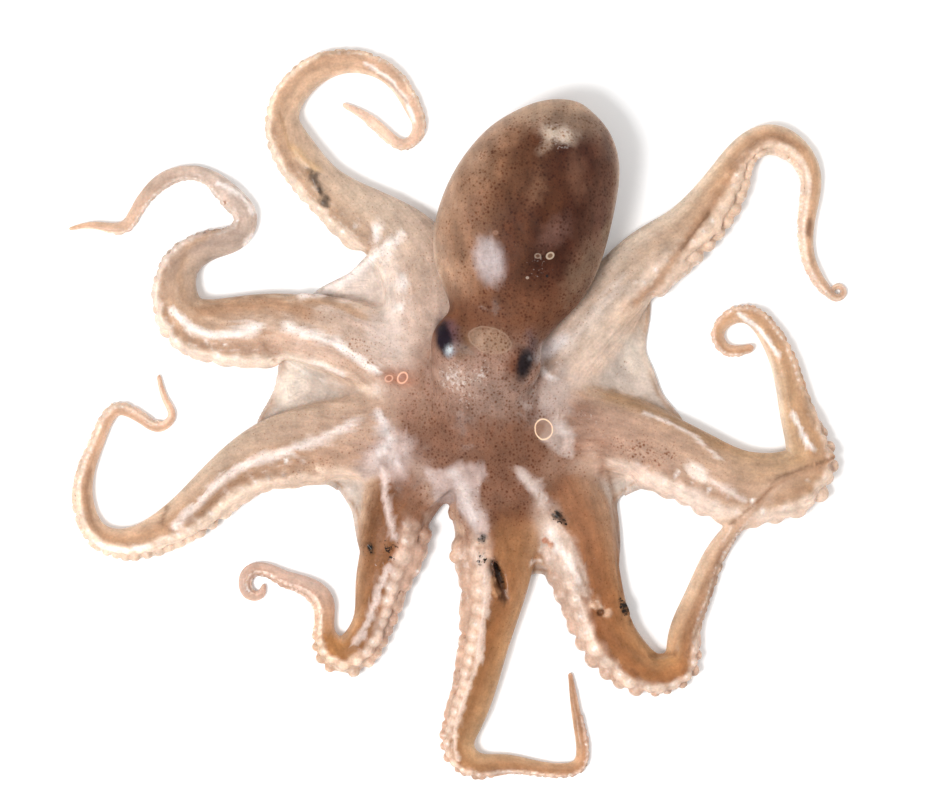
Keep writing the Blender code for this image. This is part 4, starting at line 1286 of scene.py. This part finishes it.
def newMaterial(name, **finish):
    # a material whose shader has plain values on its own sockets
    material = bpy.data.materials.new(name)
    material.use_nodes = True
    shader = material.node_tree.nodes["Principled BSDF"]
    for socket, value in finish.items():
        shader.inputs[socketNames[socket]].default_value = value
    return material, material.node_tree, shader


skinFinish = {
    "cloud": (260, 5), "cloudShade": (0.7, 0.65),  # noise scale and detail; times it, plus
    "fine": (1500, 3), "fineShade": (0.5, 0.75),
    "fibre": (420, 5, 0.62), "fibreShade": 0.9,  # streaks that run along each part
    "dots": [(1000, 0.19, 0.24, 0.84), (1600, 0.20, 0.22, 0.5)],  # scale, least, spread, amount
    "dotShade": (0.44, 0.24, 0.13, 1), "dotEdge": (-0.13, 0.20),
    "grime": (1150, 4), "grimeRise": 0.42, "grimeEdge": (0.86, 0.96),
    "grimeColour": (0.016, 0.010, 0.007, 1),
    # white flecks, partly the skin's own and partly painted glints
    "flecksAndGlints": (1050, 3, 0.5, 0.6), "fleckGlintRise": 0.38, "fleckGlintEdge": (0.76, 1.04), "fleckGlintAmount": 0.8,
    "fleckGlintColour": (0.66, 0.56, 0.51, 1),
    "markUneven": (0.3, -0.15), "markRim": 0.4, "markFill": (1.0, 0.8),
    "bump": 0.25, "bumpHeight": 0.0004, "fineBump": 0.5,
    "roughness": 0.46, "wetter": -0.26, "roughVary": 0.2,
    "plain": {
        "scatter": 0.22, "scatterRadius": (1.0, 0.42, 0.22), "scatterScale": 0.0022,
        "coat": 0.05, "coatRoughness": 0.12, "ior": 1.38, "specular": 0.20,
    },
}
# rings and spots drawn on the skin: x, y, half length, half width, angle, width of the rim as a
# share of its radius, colour and strength of the rim, colour and strength inside it
skinMarks = [
    (15.6, 3.0, 2.75, 2.35, 100, 0.10, (0.95, 0.66, 0.46, 0.95), (0.34, 0.20, 0.14, 0.6)),
    (-22.2, 16.8, 1.5, 1.2, 60, 0.24, (0.80, 0.42, 0.28, 0.9), (0.34, 0.13, 0.08, 0.6)),
    (-25.9, 16.6, 1.0, 0.8, 20, 0.3, (0.76, 0.42, 0.30, 0.7), (0.34, 0.13, 0.08, 0.4)),
    (1.1, 26.6, 5.6, 3.3, -17, 0.07, (0.40, 0.27, 0.19, 0.35), (0.34, 0.205, 0.125, 0.0)),
    (17.0, 48.8, 0.95, 0.75, 30, 0.35, (0.52, 0.39, 0.29, 0.8), (0.26, 0.16, 0.10, 0.5)),
    (13.7, 48.7, 0.7, 0.55, 0, 0.4, (0.40, 0.29, 0.22, 0.5), (0.2, 0.1, 0.06, 0.3)),
    (16.2, 43.5, 0.30, 0.30, 0, 0.5, (0.02, 0.01, 0.01, 0.9), (0.01, 0.01, 0.01, 1.0)),
    (11.0, 43.0, 0.35, 0.3, 0, 0.5, (0.50, 0.38, 0.30, 0.5), (0.50, 0.38, 0.30, 0.5)),
    (2.6, 54.8, 0.6, 0.5, 0, 0.5, (0.40, 0.23, 0.16, 0.3), (0.38, 0.21, 0.15, 0.3)),
]


def skinMaterial():
    # stored colour times noise and fibres, then dots, grime, white flecks with painted glints and
    # marks over it; a point is dotted where it is nearer a cell's middle than a size drawn for that cell
    material, tree, shader = newMaterial("octopusSkin", **skinFinish["plain"])
    place = node(tree, "ShaderNodeTexCoord").outputs["Object"]
    cloud = noise(tree, place, *skinFinish["cloud"])
    fine = noise(tree, place, *skinFinish["fine"])
    shade = maths(tree, "MULTIPLY", maths(tree, "MULTIPLY_ADD", cloud, *skinFinish["cloudShade"]),
                  maths(tree, "MULTIPLY_ADD", fine, *skinFinish["fineShade"]))
    flow = node(tree, "ShaderNodeSeparateXYZ")
    feed(tree, flow.inputs[0], stored(tree, "flow", "Vector"))
    along, across, clear = flow.outputs
    flat = node(tree, "ShaderNodeCombineXYZ")
    feed(tree, flat.inputs[0], along)
    feed(tree, flat.inputs[1], across)
    fibre = maths(tree, "SUBTRACT", noise(tree, flat.outputs[0], *skinFinish["fibre"]), 0.5)
    fibre = maths(tree, "MULTIPLY", fibre, clear)
    fibre = maths(tree, "MULTIPLY_ADD", fibre, skinFinish["fibreShade"], 1.0)
    mottled = node(tree, "ShaderNodeVectorMath", operation="SCALE")
    feed(tree, mottled.inputs[0], stored(tree, "tint", "Color"))
    feed(tree, mottled.inputs["Scale"], maths(tree, "MULTIPLY", shade, fibre))
    colour = mottled.outputs[0]
    for scale, least, spread, amount in skinFinish["dots"]:
        cells = node(tree, "ShaderNodeTexVoronoi")
        feed(tree, cells.inputs["Vector"], place)
        feed(tree, cells.inputs["Scale"], scale)
        pick = node(tree, "ShaderNodeSeparateColor")
        feed(tree, pick.inputs[0], cells.outputs["Color"])
        size = maths(tree, "MULTIPLY_ADD", pick.outputs[0], spread, least)
        size = maths(tree, "MULTIPLY", size, stored(tree, "tint", "Alpha"))
        within = maths(tree, "SUBTRACT", size, cells.outputs["Distance"])
        dot = maths(tree, "MULTIPLY", ramp(tree, within, *skinFinish["dotEdge"]), amount)
        colour = mixColour(tree, "MULTIPLY", dot, colour, skinFinish["dotShade"])
    soot = noise(tree, place, *skinFinish["grime"])
    soot = maths(tree, "MULTIPLY_ADD", stored(tree, "grime"), skinFinish["grimeRise"], soot)
    soot = ramp(tree, soot, *skinFinish["grimeEdge"])
    colour = mixColour(tree, "MIX", soot, colour, skinFinish["grimeColour"])
    # white flecks, partly painted glints
    fleckAndGlint = noise(tree, place, *skinFinish["flecksAndGlints"])
    fleckAndGlint = maths(tree, "MULTIPLY_ADD", stored(tree, "flecksAndGlints"), skinFinish["fleckGlintRise"], fleckAndGlint)
    fleckAndGlint = ramp(tree, fleckAndGlint, *skinFinish["fleckGlintEdge"])
    fleckAndGlint = maths(tree, "MULTIPLY", fleckAndGlint, skinFinish["fleckGlintAmount"])
    colour = mixColour(tree, "MIX", fleckAndGlint, colour, skinFinish["fleckGlintColour"])
    uneven = maths(tree, "MULTIPLY_ADD", cloud, *skinFinish["markUneven"])
    for mark in skinMarks:
        colour = drawMark(tree, place, colour, uneven, *mark)
    feed(tree, shader.inputs["Base Color"], colour)
    bump = node(tree, "ShaderNodeBump")
    feed(tree, bump.inputs["Strength"], skinFinish["bump"])
    feed(tree, bump.inputs["Distance"], skinFinish["bumpHeight"])
    fine = maths(tree, "MULTIPLY", fine, skinFinish["fineBump"])
    feed(tree, bump.inputs["Height"], maths(tree, "ADD", fine, cloud))
    feed(tree, shader.inputs["Normal"], bump.outputs["Normal"])
    rough = maths(tree, "MULTIPLY_ADD", stored(tree, "wet"), skinFinish["wetter"],
                  skinFinish["roughness"])
    rough = maths(tree, "MULTIPLY_ADD", cloud, skinFinish["roughVary"], rough)
    feed(tree, shader.inputs["Roughness"], rough)
    return material


def drawMark(tree, place, colour, uneven, x, y, halfLong, halfShort, angle, width, rim, centre):
    # a mark is where |p / half lengths|, made a little uneven, is under 1, and its rim where
    # that is within width of 1
    turn = node(tree, "ShaderNodeMapping", vector_type="TEXTURE")
    feed(tree, turn.inputs["Vector"], place)
    feed(tree, turn.inputs["Location"], ((x + mouth[0]) * metre, (y + mouth[1]) * metre, 0))
    feed(tree, turn.inputs["Rotation"], (0, 0, math.radians(angle)))
    feed(tree, turn.inputs["Scale"], (halfLong * metre, halfShort * metre, 1 / metre))
    length = node(tree, "ShaderNodeVectorMath", operation="LENGTH")
    feed(tree, length.inputs[0], turn.outputs["Vector"])
    far = maths(tree, "ADD", length.outputs["Value"], uneven)
    away = maths(tree, "ABSOLUTE", maths(tree, "SUBTRACT", far, 1.0))
    fill = maths(tree, "MULTIPLY", ramp(tree, far, *skinFinish["markFill"]), centre[3])
    edge = ramp(tree, away, width, width * skinFinish["markRim"])
    colour = mixColour(tree, "MIX", fill, colour, (*centre[:3], 1))
    return mixColour(tree, "MIX", maths(tree, "MULTIPLY", edge, rim[3]), colour, (*rim[:3], 1))


studio = {
    "width": 252.18, "centre": (-4.9, 9.5),  # mm that the view takes in, and its middle
    "lens": 135.0, "sensor": 36.0, "above": 0.003,
    "lights": [
        # name, x, y, z, size in metres, watts
        ("softboxLeft", -0.41, -0.27, 0.87, 0.32, 8.2),
        ("softboxRight", 0.45, 0.55, 0.75, 0.9, 2.3),
    ],
    "world": 0.56, "white": (1, 1, 1, 1),
    "floorSize": 4, "floorDrop": -0.0002,
    "paper": {
        "colour": (0.97, 0.97, 0.97, 1), "roughness": 0.9, "specular": 0.1,
        "glowColour": (1, 1, 1, 1), "glow": 0.07,  # paper over a faint light table
    },
}


def addStudio():
    # white paper, two soft lamps aimed at the origin, even white light, and a camera straight
    # above at the distance where its view is as wide as asked: width * lens / sensor
    floorPlace = (0, 0, studio["floorDrop"])
    bpy.ops.mesh.primitive_plane_add(size=studio["floorSize"], location=floorPlace)
    floor = bpy.context.object
    floor.name = "floor"
    floor.data.materials.append(newMaterial("whitePaper", **studio["paper"])[0])
    for name, x, y, z, size, watts in studio["lights"]:
        lamp = bpy.data.lights.new(name, "AREA")
        lamp.shape = "SQUARE"
        lamp.size = size
        lamp.energy = watts
        box = bpy.data.objects.new(name, lamp)
        box.location = (x, y, z)
        box.rotation_euler = (-Vector((x, y, z))).to_track_quat("-Z", "Y").to_euler()
        bpy.context.scene.collection.objects.link(box)
    world = bpy.data.worlds.new("softWhite")
    world.use_nodes = True
    sky = world.node_tree.nodes["Background"]
    sky.inputs["Color"].default_value = studio["white"]
    sky.inputs["Strength"].default_value = studio["world"]
    bpy.context.scene.world = world
    lens = bpy.data.cameras.new("camera")
    lens.lens = studio["lens"]
    lens.sensor_width = studio["sensor"]
    camera = bpy.data.objects.new("camera", lens)
    x, y = ((studio["centre"][i] + mouth[i]) * metre for i in (0, 1))
    height = studio["width"] * metre * lens.lens / lens.sensor_width
    camera.location = (x, y, studio["above"] + height)
    bpy.context.scene.collection.objects.link(camera)
    bpy.context.scene.camera = camera
    bpy.context.scene.view_settings.view_transform = "Standard"


for armName in arms:
    layArm(armName)
addStudio()
print("studio ready")
skin = addSkin()
skin.data.materials.clear()
skin.data.materials.append(skinMaterial())
print("skin ready", len(skin.data.polygons), "faces")
